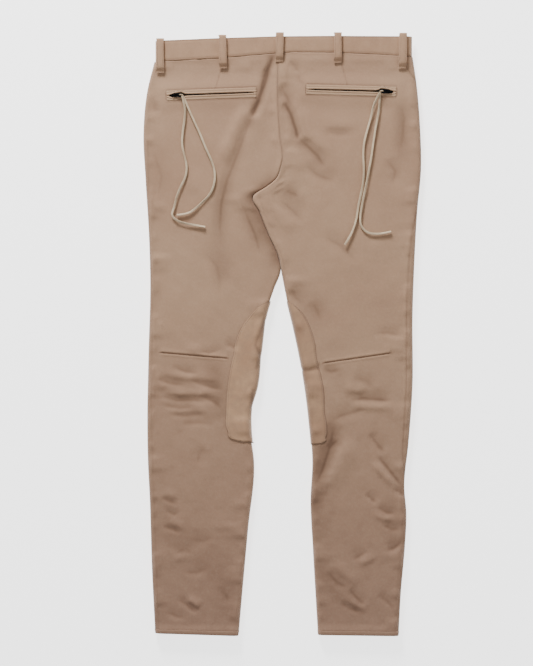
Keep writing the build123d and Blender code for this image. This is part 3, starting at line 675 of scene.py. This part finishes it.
TWILL = cloth_material("twill", srgb(176, 142, 114), srgb(167, 132, 106), srgb(181, 150, 124))
BAND_TWILL = cloth_material("band_twill", srgb(174, 139, 110), srgb(164, 128, 101), srgb(184, 152, 124),
                            hem_shade=False)
# The welts get a lighter copy of the twill: a painted highlight on their raised lips.
LIT_WELT_TWILL = cloth_material("welt_twill_lit", srgb(184, 152, 122), srgb(172, 139, 111), srgb(194, 164, 136),
                            hem_shade=False)
LINING = cloth_material("lining", srgb(176, 158, 136), srgb(160, 140, 118), srgb(190, 172, 150), twill=300.0,
                        hem_shade=False, sheen=0.1)
THREAD = cloth_material("thread", srgb(150, 122, 100), srgb(136, 108, 88), srgb(160, 134, 112), twill=900.0,
                        hem_shade=False, sheen=0.1)
SUEDE, THONG, TAPE = suede_material(), leather_material(), tape_material()
METAL = metal_material("black_metal", 420, (srgb(16, 16, 18), srgb(84, 84, 86)), (0.62, 0.78), 0.85, (0.26, 0.45), 0.15)
STEEL = metal_material("hook_steel", 600, (srgb(150, 150, 152), srgb(196, 196, 198)), (0.3, 0.7), 1.0, (0.25, 0.42),
                       0.2)

# ---- the skins of legs and seat ----------------------------------------------------------------
UPPER, LOWER = "garment", {-1: "left_lower_leg", 1: "right_lower_leg"}


def spaced(low, high, step, dense=()):
    """Values from high to low about step apart, closer within each (low, high, step) of dense."""
    values, y = [high], high
    while y > low:
        s = step
        for a, b, fine in dense:
            if a < y <= b:
                s = fine
        y = max(y - s, low)
        values.append(y)
    return np.array(values)


def across():
    """Shares of the way across a skin, closer together at both edges."""
    edge = np.array([0, 0.4, 1.0, 1.8, 2.8, 4.0, 5.5, 7.5, 10.0]) / 230.0
    middle = np.linspace(edge[-1], 1 - edge[-1], 104)
    return np.concatenate([edge[:-1], middle, 1 - edge[:-1][::-1]])


def skin_points(side, back):
    drop = 0.0 if back else FRONT_DROP
    dense = [(-52, -26, 0.9)] if back else []
    ys = spaced(-503.0, 470.0, 2.3 if back else 4.0, dense)
    u = across()
    outer, inner = OUTER[side], INNER[side]
    Y = np.repeat(ys[:, None], len(u), axis=1)
    X = outer(ys)[:, None] * (1 - u) + inner(ys)[:, None] * u
    for _ in range(2):
        waist = seam_y(X) - drop - 0.3
        hem = hem_y(side, X) + 0.3
        high = smoothstep((ys - 380) / 90)[:, None]
        low = smoothstep((-430 - ys) / 73)[:, None]
        Y = ys[:, None] + high * (waist - 470.0) + low * (hem + 503.0)
        X = outer(Y[:, 0])[:, None] * (1 - u) + inner(Y[:, -1])[:, None] * u
    return X, Y


def simulated_swell(side):
    """Buckles of a slightly loose skin held at its seams, from a cloth simulation on a coarse grid."""
    rows, cols = 78, 22
    ys = np.linspace(470, -503, rows)
    u = np.linspace(0, 1, cols)
    outer, inner = OUTER[side], INNER[side]
    X = outer(ys)[:, None] * (1 - u) + inner(ys)[:, None] * u
    Y = np.repeat(ys[:, None], cols, axis=1)
    Z = relief(side, X, Y) * 0.6
    held = np.zeros((rows, cols), bool)
    held[0], held[-1], held[:, 0], held[:, -1] = True, True, True, True
    verts = np.stack([X, Y, Z], axis=-1).reshape(-1, 3)
    mesh = bpy.data.meshes.new("swell")
    mesh.from_pydata((verts * MM * 4).tolist(), [], grid_faces(rows, cols))
    obj = bpy.data.objects.new("swell", mesh)
    bpy.context.scene.collection.objects.link(obj)
    pin = obj.vertex_groups.new(name="held")
    pin.add([int(i) for i in np.flatnonzero(held.reshape(-1))], 1.0, "REPLACE")
    cloth = obj.modifiers.new("cloth", "CLOTH")
    s = cloth.settings
    s.quality = 6
    s.mass = 0.35
    s.tension_stiffness, s.compression_stiffness, s.shear_stiffness = 25, 12, 8
    s.bending_stiffness = 1.6
    s.vertex_group_mass = "held"
    s.shrink_min = -0.022
    s.effector_weights.gravity = 0.12
    cloth.collision_settings.use_collision = False
    scene = bpy.context.scene
    cloth.point_cache.frame_start, cloth.point_cache.frame_end = 1, 26
    for f in range(1, 27):
        scene.frame_set(f)
    e = obj.evaluated_get(bpy.context.evaluated_depsgraph_get())
    m = e.to_mesh()
    co = np.zeros(len(m.vertices) * 3, np.float32)
    m.vertices.foreach_get("co", co)
    e.to_mesh_clear()
    dz = co.reshape(rows, cols, 3)[:, :, 2] / (MM * 4) - Z
    bpy.data.objects.remove(obj)
    bpy.data.meshes.remove(mesh)
    scene.frame_set(1)
    dz = np.clip(np.nan_to_num(dz), -4.0, 4.0) * 0.55

    def at(X, Y, share):
        j = np.clip((470 - Y) / 973 * (rows - 1), 0, rows - 1.001)
        i = np.clip(share * (cols - 1), 0, cols - 1.001)
        j0, i0 = j.astype(int), i.astype(int)
        a, b = smoothstep(j - j0), smoothstep(i - i0)
        return (dz[j0, i0] * (1 - a) * (1 - b) + dz[j0 + 1, i0] * a * (1 - b)
                + dz[j0, i0 + 1] * (1 - a) * b + dz[j0 + 1, i0 + 1] * a * b)
    return at


skins = {}
swells = {}
for side in (-1, 1):
    swell_at = simulated_swell(side)
    X, Y = skin_points(side, True)
    share = np.repeat(across()[None, :], X.shape[0], axis=0)
    swell = np.zeros(X.shape) if swell_at is None else swell_at(X, Y, share)
    u, v = pocket_uv(side, X, Y)
    flat = np.exp(-(np.clip(np.abs(v) - 9, 0, None) / 14) ** 2)
    flat = flat * np.exp(-(np.clip(np.abs(u) - 80, 0, None) / 14) ** 2)
    Z = back_z(side, X, Y, swell)
    Z = Z * (1 - flat) + flat * (BACK_TOP + 0.15 * (Z - BACK_TOP))
    uc = (u[:-1, :-1] + u[1:, 1:]) / 2
    vc = (v[:-1, :-1] + v[1:, 1:]) / 2
    keep = ~((np.abs(uc) < 72) & (np.abs(vc) < 5.6))
    obj = add_grid(f"{NAME[side]}_back_skin", X, Y, Z, TWILL, None, CLOTH, True, keep,
                   darkness(side, X, Y))
    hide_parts(f"{NAME[side]}_back_panel", f"{NAME[side]}_back_panel_lower")
    skins[(side, "back")] = obj
    swells[side] = swell_at
    X, Y = skin_points(side, False)
    obj = add_grid(f"{NAME[side]}_front_skin", X, Y, front_z(side, X, Y), TWILL, None, CLOTH, False)
    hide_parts(f"{NAME[side]}_front_panel", f"{NAME[side]}_front_panel_lower")
    skins[(side, "front")] = obj
for (side, face), obj in skins.items():
    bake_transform(obj)

# ---- knee patches ------------------------------------------------------------------------------
PATCH_CREASES = {-1: [(1.0, [(-31, 25), (-45, -18), (-39, -36), (-44, -57)]), (1.0, [(-51, -94), (-54, -123)])],
                 1: [(1.2, [(60, -57), (45, -60), (30, -59)])]}


def knee_patch(side):
    outline, inner = PATCH[side], INNER[side]
    low, high = (-184.0, 57.0) if side < 0 else (-187.0, 57.0)
    ys = spaced(low, high, 2.4)
    u = np.concatenate([np.linspace(0, 0.1, 12), np.linspace(0.12, 0.82, 26), np.linspace(0.84, 1, 12)])
    rows, shades = [], []
    for y in ys:
        xo, xi = outline(y), inner(y)
        yy = np.full(len(u), y)
        x = xo * (1 - u) + xi * u
        swell = None if swells[side] is None else swells[side](x, yy, share_at(side, x, yy))
        zb = back_z(side, x, yy, swell)
        zf = front_z(side, x, yy)
        px = np.concatenate([x, x[::-1][1:]])
        pz = np.concatenate([zb, zf[::-1][1:]])
        tx, tz = np.gradient(px), np.gradient(pz)
        length = np.hypot(tx, tz) + 1e-9
        out = 1.0 if side < 0 else -1.0
        nx, nz = -tz / length * out, tx / length * out
        s = np.linspace(0, 1, len(px))
        edge = np.minimum(np.abs(px - xo), 40)
        ends = np.minimum(high - y, y - low)
        border = np.minimum(edge, max(ends, 0.0) + 0.5)
        lift = 0.55 + 0.75 * smoothstep(border / 2.4) - 0.35 * np.exp(-((border - 3.4) / 0.8) ** 2)
        py = np.full(len(px), y)
        crease = sum(deep * np.exp(-(near_line(px, py, run)[0] / 3) ** 2) for deep, run in PATCH_CREASES[side])
        back = s < 0.5
        lift = lift - np.where(back, 1.3 * crease * (lift > 0.8), 0) * 0.7
        lift = np.where(back, lift, np.minimum(lift, 0.9))
        shades.append(np.clip(0.85 * np.exp(-(border / 1.3) ** 2) + 0.3 * np.exp(-((border - 3.4) / 0.8) ** 2)
                              + np.where(back, 0.5 * crease, 0) + 0.3 * np.exp(-(np.abs(px - xi) / 6.0) ** 2),
                              0, 1))
        rows.append(np.stack([px + nx * lift, py, pz + nz * lift], axis=-1))
    P = np.array(rows)
    obj = add_grid(f"{NAME[side]}_suede_patch", P[:, :, 0], P[:, :, 1], np.maximum(P[:, :, 2], 0.9), SUEDE,
                   UPPER, 1.1, True, None, np.array(shades))
    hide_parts(f"{NAME[side]}_knee_patch")
    return obj


for side in (-1, 1):
    knee_patch(side)

# ---- hem bands ---------------------------------------------------------------------------------
def hem_band(side):
    ends = [(-217.0, -500.0), (-73.5, -503.5)] if side < 0 else [(60.0, -502.0), (198.5, -504.0)]
    bottom = [(-216.0, -507.2), (-75.0, -511.6)] if side < 0 else [(60.8, -510.0), (197.6, -511.8)]
    n = 90
    rings = []
    angle = np.linspace(0, math.tau, n, endpoint=False)
    profile = [(0.0, -0.4), (0.02, 0.55), (0.12, 0.85), (0.5, 0.8), (0.85, 0.7), (0.97, 0.35), (1.0, -0.1),
               (0.99, -0.8), (0.9, -1.1), (0.4, -1.1), (0.05, -1.1)]
    outer = np.abs(np.cos(angle)) ** 0.16 * np.sign(np.cos(angle))
    height = np.abs(np.sin(angle)) ** 0.62 * np.sign(np.sin(angle))
    for t, lift in profile:
        xa = ends[0][0] * (1 - t) + bottom[0][0] * t
        xb = ends[1][0] * (1 - t) + bottom[1][0] * t
        ya = ends[0][1] * (1 - t) + bottom[0][1] * t
        yb = ends[1][1] * (1 - t) + bottom[1][1] * t
        mid, half = (xa + xb) / 2, (xb - xa) / 2 + lift * 0.5
        x = mid + half * outer
        y = ya + (yb - ya) * (x - xa) / (xb - xa)
        z = SEAM_Z + np.where(height > 0, BACK_TOP - SEAM_Z + lift, SEAM_Z - FRONT_Z + lift) * height
        z += 0.25 * np.sin(x * 0.11 + side) * (height > 0.8)
        rings.append(np.stack([x, y, np.maximum(z, 0.1)], axis=-1))
    verts = np.concatenate(rings)
    faces = []
    rows = len(profile)
    for k in range(rows):
        here, above = k * n, (k + 1) % rows * n
        for i in range(n):
            nxt = (i + 1) % n
            faces.append((here + i, here + nxt, above + nxt, above + i))
    obj = add_mesh(f"{NAME[side]}_hem", verts, faces, TWILL, LOWER[side])
    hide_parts(f"{NAME[side]}_hem_band")


for side in (-1, 1):
    hem_band(side)

# ---- waistband ---------------------------------------------------------------------------------
BAND_LEFT, BAND_RIGHT = -216.0, 221.0
LAP_X, UNDER_X = CENTRE_X + 18.0, CENTRE_X - 18.0


def band(name, x0, x1, z_mid, up, ends, material, nodes, thick=1.3, inset=0.0, drop=0.0, puff=0.5):
    """A strip between the waist seam and the top edge. ends says which ends turn down to the side seam."""
    near = np.array([0, .4, 1, 2, 3.5, 5.5, 8])
    xs = np.unique(np.concatenate([np.linspace(x0, x1, max(12, int((x1 - x0) / 3))), x0 + near, x1 - near]))
    xs = xs[(xs >= x0) & (xs <= x1)]
    t = np.array([0, .01, .03, .06, .11, .16, .3, .5, .7, .84, .9, .95, .975, .99, 1.0])
    X = np.repeat(xs[None, :], len(t), axis=0)
    y0, y1 = seam_y(xs) - drop + inset, top_y(xs) - drop - inset
    Y = y0[None, :] + (y1 - y0)[None, :] * t[:, None]
    d = np.minimum(t, 1 - t)[:, None] * (y1 - y0)[None, :]
    body_z = 1.6 * puff * edge_round(d, 3.0) - 0.5 * np.exp(-((d - 2.0) / 0.7) ** 2) * (puff > 0.3)
    body_z = body_z + (puff > 0.3) * (0.5 * waves(X, Y, 21, 30.0) + 0.25 * waves(X, Y * 0.2, 23, 12.0))
    z = z_mid + (body_z if up else -body_z)
    turn = np.ones(X.shape)
    if ends in ("low", "both"):
        turn *= edge_round(X - x0, 8.0)
    if ends in ("high", "both"):
        turn *= edge_round(x1 - X, 8.0)
    Z = SEAM_Z + (z - SEAM_Z) * turn
    # Painted shade along both edges of the strip, uneven along its length.
    dark = 0.5 * np.exp(-(d / 1.6) ** 2) + 0.25 * np.exp(-((d - 2.2) / 0.8) ** 2)
    dark = dark - 0.12 * waves(X, Y, 21, 30.0)
    obj = add_grid(name, X, Y, Z, material, UPPER, thick, up, None, np.clip(dark, -0.2, 1))
    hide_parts(*nodes)
    return obj


band("left_back_band", BAND_LEFT, CENTRE_X, BACK_TOP, True, "low", BAND_TWILL,
     ["left_back_waistband"])
band("right_back_band", CENTRE_X, BAND_RIGHT, BACK_TOP, True, "high", BAND_TWILL,
     ["right_back_waistband"])
band("back_band_lining", BAND_LEFT + 1.6, BAND_RIGHT - 1.6, BACK_TOP - 1.5, True, "both", LINING,
     ["back_waistband_lining"], 1.0, 0.8, puff=0.0)
band("left_front_band", BAND_LEFT, LAP_X, 2.2, False, "low", BAND_TWILL,
     ["left_front_waistband"], drop=FRONT_DROP, puff=0.35)
band("right_front_band", LAP_X + 0.6, BAND_RIGHT, 2.2, False, "high", BAND_TWILL,
     ["right_front_waistband"], drop=FRONT_DROP, puff=0.35)
band("right_front_tongue", UNDER_X, LAP_X + 2.6, 4.4, False, "", BAND_TWILL,
     ["right_front_waistband"], 1.0, 0.4, FRONT_DROP, 0.0)
band("left_front_band_lining", BAND_LEFT + 1.6, UNDER_X - 1, 3.4, False, "low", LINING,
     ["front_waistband_lining"], 0.9, 0.8, FRONT_DROP, 0.0)
band("right_front_band_lining", LAP_X + 4, BAND_RIGHT - 1.6, 3.4, False, "high", LINING,
     [], 0.9, 0.8, FRONT_DROP, 0.0)

# ---- belt loops --------------------------------------------------------------------------------
def ring_at(px, py, pz, ty, tz, width, thick, lean=0.0):
    """Rounded flat section of a loop, across its run."""
    w, h = width / 2, thick / 2
    flat = [(-w, -h * .4), (-w * .97, -h), (-w * .5, -h), (w * .5, -h), (w * .97, -h), (w, -h * .4),
            (w, h * .5),
            (w * .96, h * .95), (w * .86, h * 1.12), (w * .74, h * .8), (w * .66, h * 1.05), (0, h * 1.1),
            (-w * .66, h * 1.05), (-w * .74, h * .8), (-w * .86, h * 1.12), (-w * .96, h * .95), (-w, h * .5)]
    return [(px + a + lean, py - tz * b, pz + ty * b) for a, b in flat]


def smooth_path(pts, n=26):
    pts = np.array(pts, float)
    for _ in range(3):
        q = [pts[0]]
        for a, b in zip(pts, pts[1:]):
            q += [a * .75 + b * .25, a * .25 + b * .75]
        q.append(pts[-1])
        pts = np.array(q)
    return pts


def belt_loop(name, x, pts, width, thick, lean=(0.0, 0.0)):
    path = smooth_path(pts)
    tang = np.gradient(path, axis=0)
    tang /= np.linalg.norm(tang, axis=1)[:, None]
    rings = []
    for k, ((y, z), (ty, tz)) in enumerate(zip(path, tang)):
        s = k / (len(path) - 1)
        grow = 1.0 + 0.05 * math.sin(s * 9 + x)
        rings.append(ring_at(x, y, z, ty, tz, width * grow, thick, lean[0] * (1 - s) + lean[1] * s))
    obj = loft(f"{name}_loop", rings, BAND_TWILL, UPPER)
    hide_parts(f"{name}_belt_loop")
    return obj


LOOPS = {"side_left": (-207.5, 445.0, 503.0, (0.5, 0)), "back_left": (-101.5, 452.5, 509.0, (1.3, -.5)),
         "centre_back": (-4.0, 464.0, 513.2, (-1.5, 0.5)), "back_right": (94.2, 462.0, 513.2, (0, 0)),
         "side_right": (204.5, 452.5, 512.3, (-1.5, 1.2))}
for name, (x, foot, top, lean) in LOOPS.items():
    run = [(foot - 0.2, 16.0), (foot + 3, 16.4), (foot + 6, 18.4), (foot + 10, 20.2), ((foot + top) / 2, 20.5),
           (top - 6, 20.4), (top - 1.5, 20.0), (top - 0.6, 18.2), (top - 0.8, 16.2), (top - 1.0, 14.2)]
    belt_loop(name, x, run, 13.0, 1.6, lean)
for name, x in {"front_left": -118.0, "front_right": 110.0}.items():
    top_edge, seam = float(top_y(x)) - FRONT_DROP, float(seam_y(x)) - FRONT_DROP
    run = [(seam - 12, 0.75), (seam - 4, 0.7), (seam + 4, 0.75), (top_edge - 4, 0.7), (top_edge + 2, 0.75),
           (top_edge + 4.2, 1.1), (top_edge + 4.4, 2.6), (top_edge + 4.2, 3.2)]
    belt_loop(name, x, run, 13.0, 1.2)

# ---- back pockets ------------------------------------------------------------------------------
def lip(u, upper):
    """How far each lip stands from the middle of the zip: a slit that opens where the slider is."""
    if upper:
        return np.interp(u, [-76, -72, -60, -53, -50, -46, -43, -30, 20, 62, 74, 76],
                         [0.2, 0.9, 3.6, 4.8, 4.6, 2.4, 1.5, 1.2, 1.2, 1.0, 0.4, 0.2])
    return np.interp(u, [-76, -73, -68, -60, -51, -47, -43, -30, 20, 62, 74, 76],
                     [0.2, 1.2, 2.7, 3.2, 3.2, 2.4, 1.5, 1.2, 1.2, 1.0, 0.4, 0.2])


def welt(side, upper):
    us = np.unique(np.concatenate([np.linspace(-76, 76, 110), np.linspace(-76, -40, 40)]))
    sign = 1 if upper else -1
    rings = []
    for u in us:
        a, b = float(lip(u, upper)), 8.4
        top = 15.85 + 0.08 * math.sin(u * 0.21 + sign)
        section = [(a + .3, 14.1), (a, 14.35), (a, 14.9), (a + .25, 15.5), (a + .8, top + .05),
                   (a + 1.5, top + .15), (a + 2.3, top), (a + 2.9, top - .5), (a + 3.4, top - .55),
                   (a + 4.2, top - .4), (b - 1.2, top - .35), (b - .4, top - .5), (b, 15.1), (b, 14.3),
                   (b - 1, 14.1), (a + 1.5, 14.1)]
        ring = []
        for v, z in section:
            x, y = pocket_xy(side, u, sign * v)
            ring.append((x, y, z))
        rings.append(ring)
    name = f"{NAME[side]}_{'upper' if upper else 'lower'}_welt"
    obj = loft(name, rings, LIT_WELT_TWILL, UPPER)
    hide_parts(f"{NAME[side]}_pocket_{'upper' if upper else 'lower'}_welt")


def stitch_line(name, pts, z_of, material, body, step=3.4, length=2.3, size=0.38):
    """Short sewn stitches lying along a line."""
    pts = np.array(pts, float)
    seg = np.linalg.norm(np.diff(pts, axis=0), axis=1)
    at = np.concatenate([[0], np.cumsum(seg)])
    verts, faces = [], []
    for s in np.arange(step / 2, at[-1] - step / 2, step):
        p = np.array([np.interp(s, at, pts[:, k]) for k in range(2)])
        q = np.array([np.interp(s + length, at, pts[:, k]) for k in range(2)])
        d = (q - p) / (np.linalg.norm(q - p) + 1e-9)
        n = np.array([-d[1], d[0]]) * size
        mids = [p, (p + q) / 2, q]
        base = len(verts)
        for k, c in enumerate(mids):
            z = float(z_of(c[0], c[1])) + (0.28 if k == 1 else -0.05)
            for off, dz in ((n, -0.1), (n * 0, 0.12), (-n, -0.1)):
                verts.append((c[0] + off[0], c[1] + off[1], z + dz))
        for k in range(2):
            for i in range(2):
                a = base + k * 3 + i
                faces.append((a, a + 1, a + 4, a + 3))
    obj = add_mesh(name, verts, faces, material, body)
    w = obj.modifiers.new("wall", "SOLIDIFY")
    w.thickness = 0.12 * MM
    return obj


def above_skin(side, lift, swell_at=None):
    """A height function that stands lift over the back skin."""
    def z_of(x, y):
        X, Y = np.array([[x]], float), np.array([[y]], float)
        swell = None if swell_at is None else swell_at(X, Y, share_at(side, X, Y))
        return float(back_z(side, X, Y, swell)[0, 0]) + lift
    return z_of


for side in (-1, 1):
    outline = PATCH[side]
    low, high = (-181.0, 50.0) if side < 0 else (-184.0, 50.0)
    run = [(float(outline(y)) - side * 2.2, y) for y in np.linspace(high, low, 60)]
    stitch_line(f"{NAME[side]}_patch_stitches", run, above_skin(side, 1.25, swells[side]), THREAD, UPPER)
    for end in (-77.5, 77.5):
        run = [pocket_xy(side, end, v) for v in (-8.0, 8.0)]
        end_name = "inner" if end * side < 0 else "outer"
        stitch_line(f"{NAME[side]}_pocket_tack_{end_name}", run, above_skin(side, 0.25), THREAD, UPPER,
                    step=1.5, length=1.3)
for name, (x, foot, top, lean) in LOOPS.items():
    for k, dx in enumerate((-4.6, 4.6)):
        run = [(x + dx + lean[0], foot + 11.0), (x + dx + lean[1], top - 7.0)]
        stitch_line(f"{name}_loop_stitches_{k}", run, lambda px, py: 21.2, THREAD, UPPER)


def teeth(side):
    verts, faces = [], []
    for sign in (-1, 1):
        for u in np.arange(-72.0, 59.5, 1.9):
            u0 = u + (0.95 if sign > 0 else 0.0)
            a, b = (0.15, 2.1) if sign > 0 else (-2.1, -0.15)
            base = len(verts)
            for z in (11.9, 13.3):
                for uu, vv in ((u0, a), (u0 + 1.2, a), (u0 + 1.2, b), (u0, b)):
                    x, y = pocket_xy(side, uu, vv)
                    verts.append((x, y, z - (0.25 if (abs(vv) > 1 and z > 12) else 0)))
            faces += [tuple(base + i for i in f) for f in
                      ((0, 3, 2, 1), (4, 5, 6, 7), (0, 1, 5, 4), (1, 2, 6, 5), (2, 3, 7, 6), (3, 0, 4, 7))]
    obj = add_mesh(f"{NAME[side]}_zip_teeth", verts, faces, METAL, UPPER, smooth=False)
    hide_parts(f"{NAME[side]}_zip_chain")


for side in (-1, 1):
    welt(side, True)
    welt(side, False)
    teeth(side)

# ---- inner pieces: bags, facings, shield -------------------------------------------------------
def polygon_grid(name, xl, xr, y0, y1, z, material, nodes, thick, up=True, wave_high=0.3):
    ys = np.linspace(y1, y0, max(8, int((y1 - y0) / 5)))
    u = np.linspace(0, 1, 22)
    left, right = np.interp(ys, *xl), np.interp(ys, *xr)
    X = left[:, None] * (1 - u) + right[:, None] * u
    Y = np.repeat(ys[:, None], len(u), axis=1)
    Z = z + wave_high * waves(X, Y, 3, 40.0)
    obj = add_grid(name, X, Y, Z, material, UPPER, thick, up)
    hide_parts(*nodes)
    return obj


for side in (-1, 1):
    n = NAME[side]
    cx, cy = POCKET[side][0]
    ys = ([cy - 96, cy - 82, cy + 10], [cx - 45, cx - 70, cx - 70])
    yr = ([cy - 96, cy - 82, cy + 10], [cx + 45, cx + 70, cx + 70])
    polygon_grid(f"{n}_back_bag", ys, yr, cy - 96, cy + 9, 9.1, LINING, [f"{n}_pocket_bag"], 0.7)
    x_out = -205.0 if side < 0 else 208.0
    x_in = x_out - side * 62
    top = float(seam_y(x_out)) - FRONT_DROP - 4
    a = ([top - 150, top], [x_out + side * 6, x_out])
    b = ([top - 150, top - 60, top], [x_out + side * 4, x_in + side * 4, x_in])
    lo, hi = (a, b) if side < 0 else (b, a)
    polygon_grid(f"{n}_front_facing", lo, hi, top - 148, top, 3.0, TWILL,
                 [f"{n}_front_pocket_facing"], 0.5, wave_high=0.05)
    a = ([top - 165, top], [x_out + side * 4, x_out])
    b = ([top - 165, top - 150, top], [x_in - side * 20, x_in - side * 50, x_in - side * 55])
    lo, hi = (a, b) if side < 0 else (b, a)
    polygon_grid(f"{n}_front_bag", lo, hi, top - 164, top, 4.4, LINING,
                 [f"{n}_front_pocket_bag"], 0.8, wave_high=0.15)
FLY_TOP = float(seam_y(CENTRE_X)) - FRONT_DROP - 4.5
polygon_grid("fly_facing_cloth",
             ([FLY_TOP - 162, FLY_TOP - 118, FLY_TOP], [CENTRE_X - 8, CENTRE_X - 31, CENTRE_X - 34]),
             ([FLY_TOP - 162, FLY_TOP], [CENTRE_X + 4, CENTRE_X + 4]), FLY_TOP - 162, FLY_TOP, 3.0, TWILL,
             ["fly_facing"], 0.5, wave_high=0.04)
polygon_grid("fly_shield_cloth",
             ([FLY_TOP - 158, FLY_TOP - 144, FLY_TOP], [CENTRE_X - 4, CENTRE_X - 22, CENTRE_X - 22]),
             ([FLY_TOP - 158, FLY_TOP - 150, FLY_TOP], [CENTRE_X + 4, CENTRE_X + 24, CENTRE_X + 24]),
             FLY_TOP - 158, FLY_TOP, 9.3, TWILL, ["fly_shield"], 0.8, wave_high=0.08)

# ---- hardware carried over from the CAD model --------------------------------------------------
CARRIED = [(("zip_slider", "pull_tab", "zip_stops", "zip_stop", "fly_zip_chain"), METAL), (("zip_tape",), TAPE),
           (("waist_hook", "waist_bar"), STEEL), (("lace_loop",), THONG)]
for node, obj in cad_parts.items():
    for endings, material in CARRIED:
        if node.endswith(endings):
            obj.data.materials.clear()
            obj.data.materials.append(material)

# ---- laces -------------------------------------------------------------------------------------
thong_data = bpy.data.curves.new("thong_section", "CURVE")
thong_data.dimensions = "2D"
section = thong_data.splines.new("POLY")
outline = [(-1.8, -.4), (-1.65, -.8), (1.65, -.8), (1.8, -.4), (1.8, .4), (1.6, .8), (.6, .66), (-.6, .66),
           (-1.6, .8), (-1.8, .4)]
section.points.add(len(outline) - 1)
for p, (a, b) in zip(section.points, outline):
    p.co = (a * MM, b * MM, 0, 1)
section.use_cyclic_u = True
thong_section = bpy.data.objects.new("thong_section", thong_data)
for name, pts in LACES.items():
    data = bpy.data.curves.new(name + "_thong", "CURVE")
    data.dimensions = "3D"
    data.twist_mode = "Z_UP"
    data.resolution_u = 10
    s = data.splines.new("NURBS")
    s.points.add(len(pts) - 1)
    for k, (p, (x, y, z)) in enumerate(zip(s.points, pts)):
        p.co = (x * MM, y * MM, z * MM, 1)
        p.tilt = 0.55 * math.sin(k * 0.9 + len(name)) + 0.25 * math.sin(k * 2.3)
    s.order_u = 3
    s.use_endpoint_u = True
    data.bevel_mode = "OBJECT"
    data.bevel_object = thong_section
    data.use_fill_caps = True
    data.materials.append(THONG)
    obj = bpy.data.objects.new(name + "_thong", data)
    bpy.context.scene.collection.objects.link(obj)
    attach(obj, "left_zip_runner" if name.startswith("left") else "right_zip_runner")
    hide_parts(name)

# ---- floor, light, camera ----------------------------------------------------------------------
floor_mesh = bpy.data.meshes.new("floor")
UNDER = -0.0005              # the floor is half a millimetre under the trousers, in metres
floor_mesh.from_pydata([(-4, -4, UNDER), (4, -4, UNDER), (4, 4, UNDER), (-4, 4, UNDER)], [], [(0, 1, 2, 3)])
floor = bpy.data.objects.new("floor", floor_mesh)
bpy.context.scene.collection.objects.link(floor)
white, nt, bsdf = new_material("floor_white")
bsdf.inputs["Base Color"].default_value = (0.95, 0.95, 0.95, 1)
bsdf.inputs["Roughness"].default_value = 0.9
bsdf.inputs["Emission Color"].default_value = (1, 1, 1, 1)
bsdf.inputs["Emission Strength"].default_value = 2.2
floor_mesh.materials.append(white)

world = bpy.data.worlds.new("studio")
bpy.context.scene.world = world
world.use_nodes = True
world.node_tree.nodes["Background"].inputs[0].default_value = (1, 1, 1, 1)
world.node_tree.nodes["Background"].inputs[1].default_value = 0.52


def area_light(name, place, aim, size, power):
    data = bpy.data.lights.new(name, "AREA")
    data.shape = "SQUARE"
    data.size = size
    data.energy = power
    obj = bpy.data.objects.new(name, data)
    obj.location = place
    obj.rotation_euler = (Vector(aim) - Vector(place)).to_track_quat("-Z", "Y").to_euler()
    bpy.context.scene.collection.objects.link(obj)


area_light("key", (-0.8, 2.7, 1.25), (0, 0, 0), 0.7, 150)
area_light("fill", (1.9, -0.8, 2.4), (0, 0, 0), 2.2, 10)

camera_data = bpy.data.cameras.new("camera")
camera = bpy.data.objects.new("camera", camera_data)
bpy.context.scene.collection.objects.link(camera)
camera_data.lens = 85
camera_data.sensor_width = 36
DISTANCE = 1.132 * 85 / 36
camera.location = (-0.0269, 0.0032, DISTANCE + 0.012)
camera.rotation_euler = (0, 0, 0)
camera_data.clip_end = 20
bpy.context.scene.camera = camera
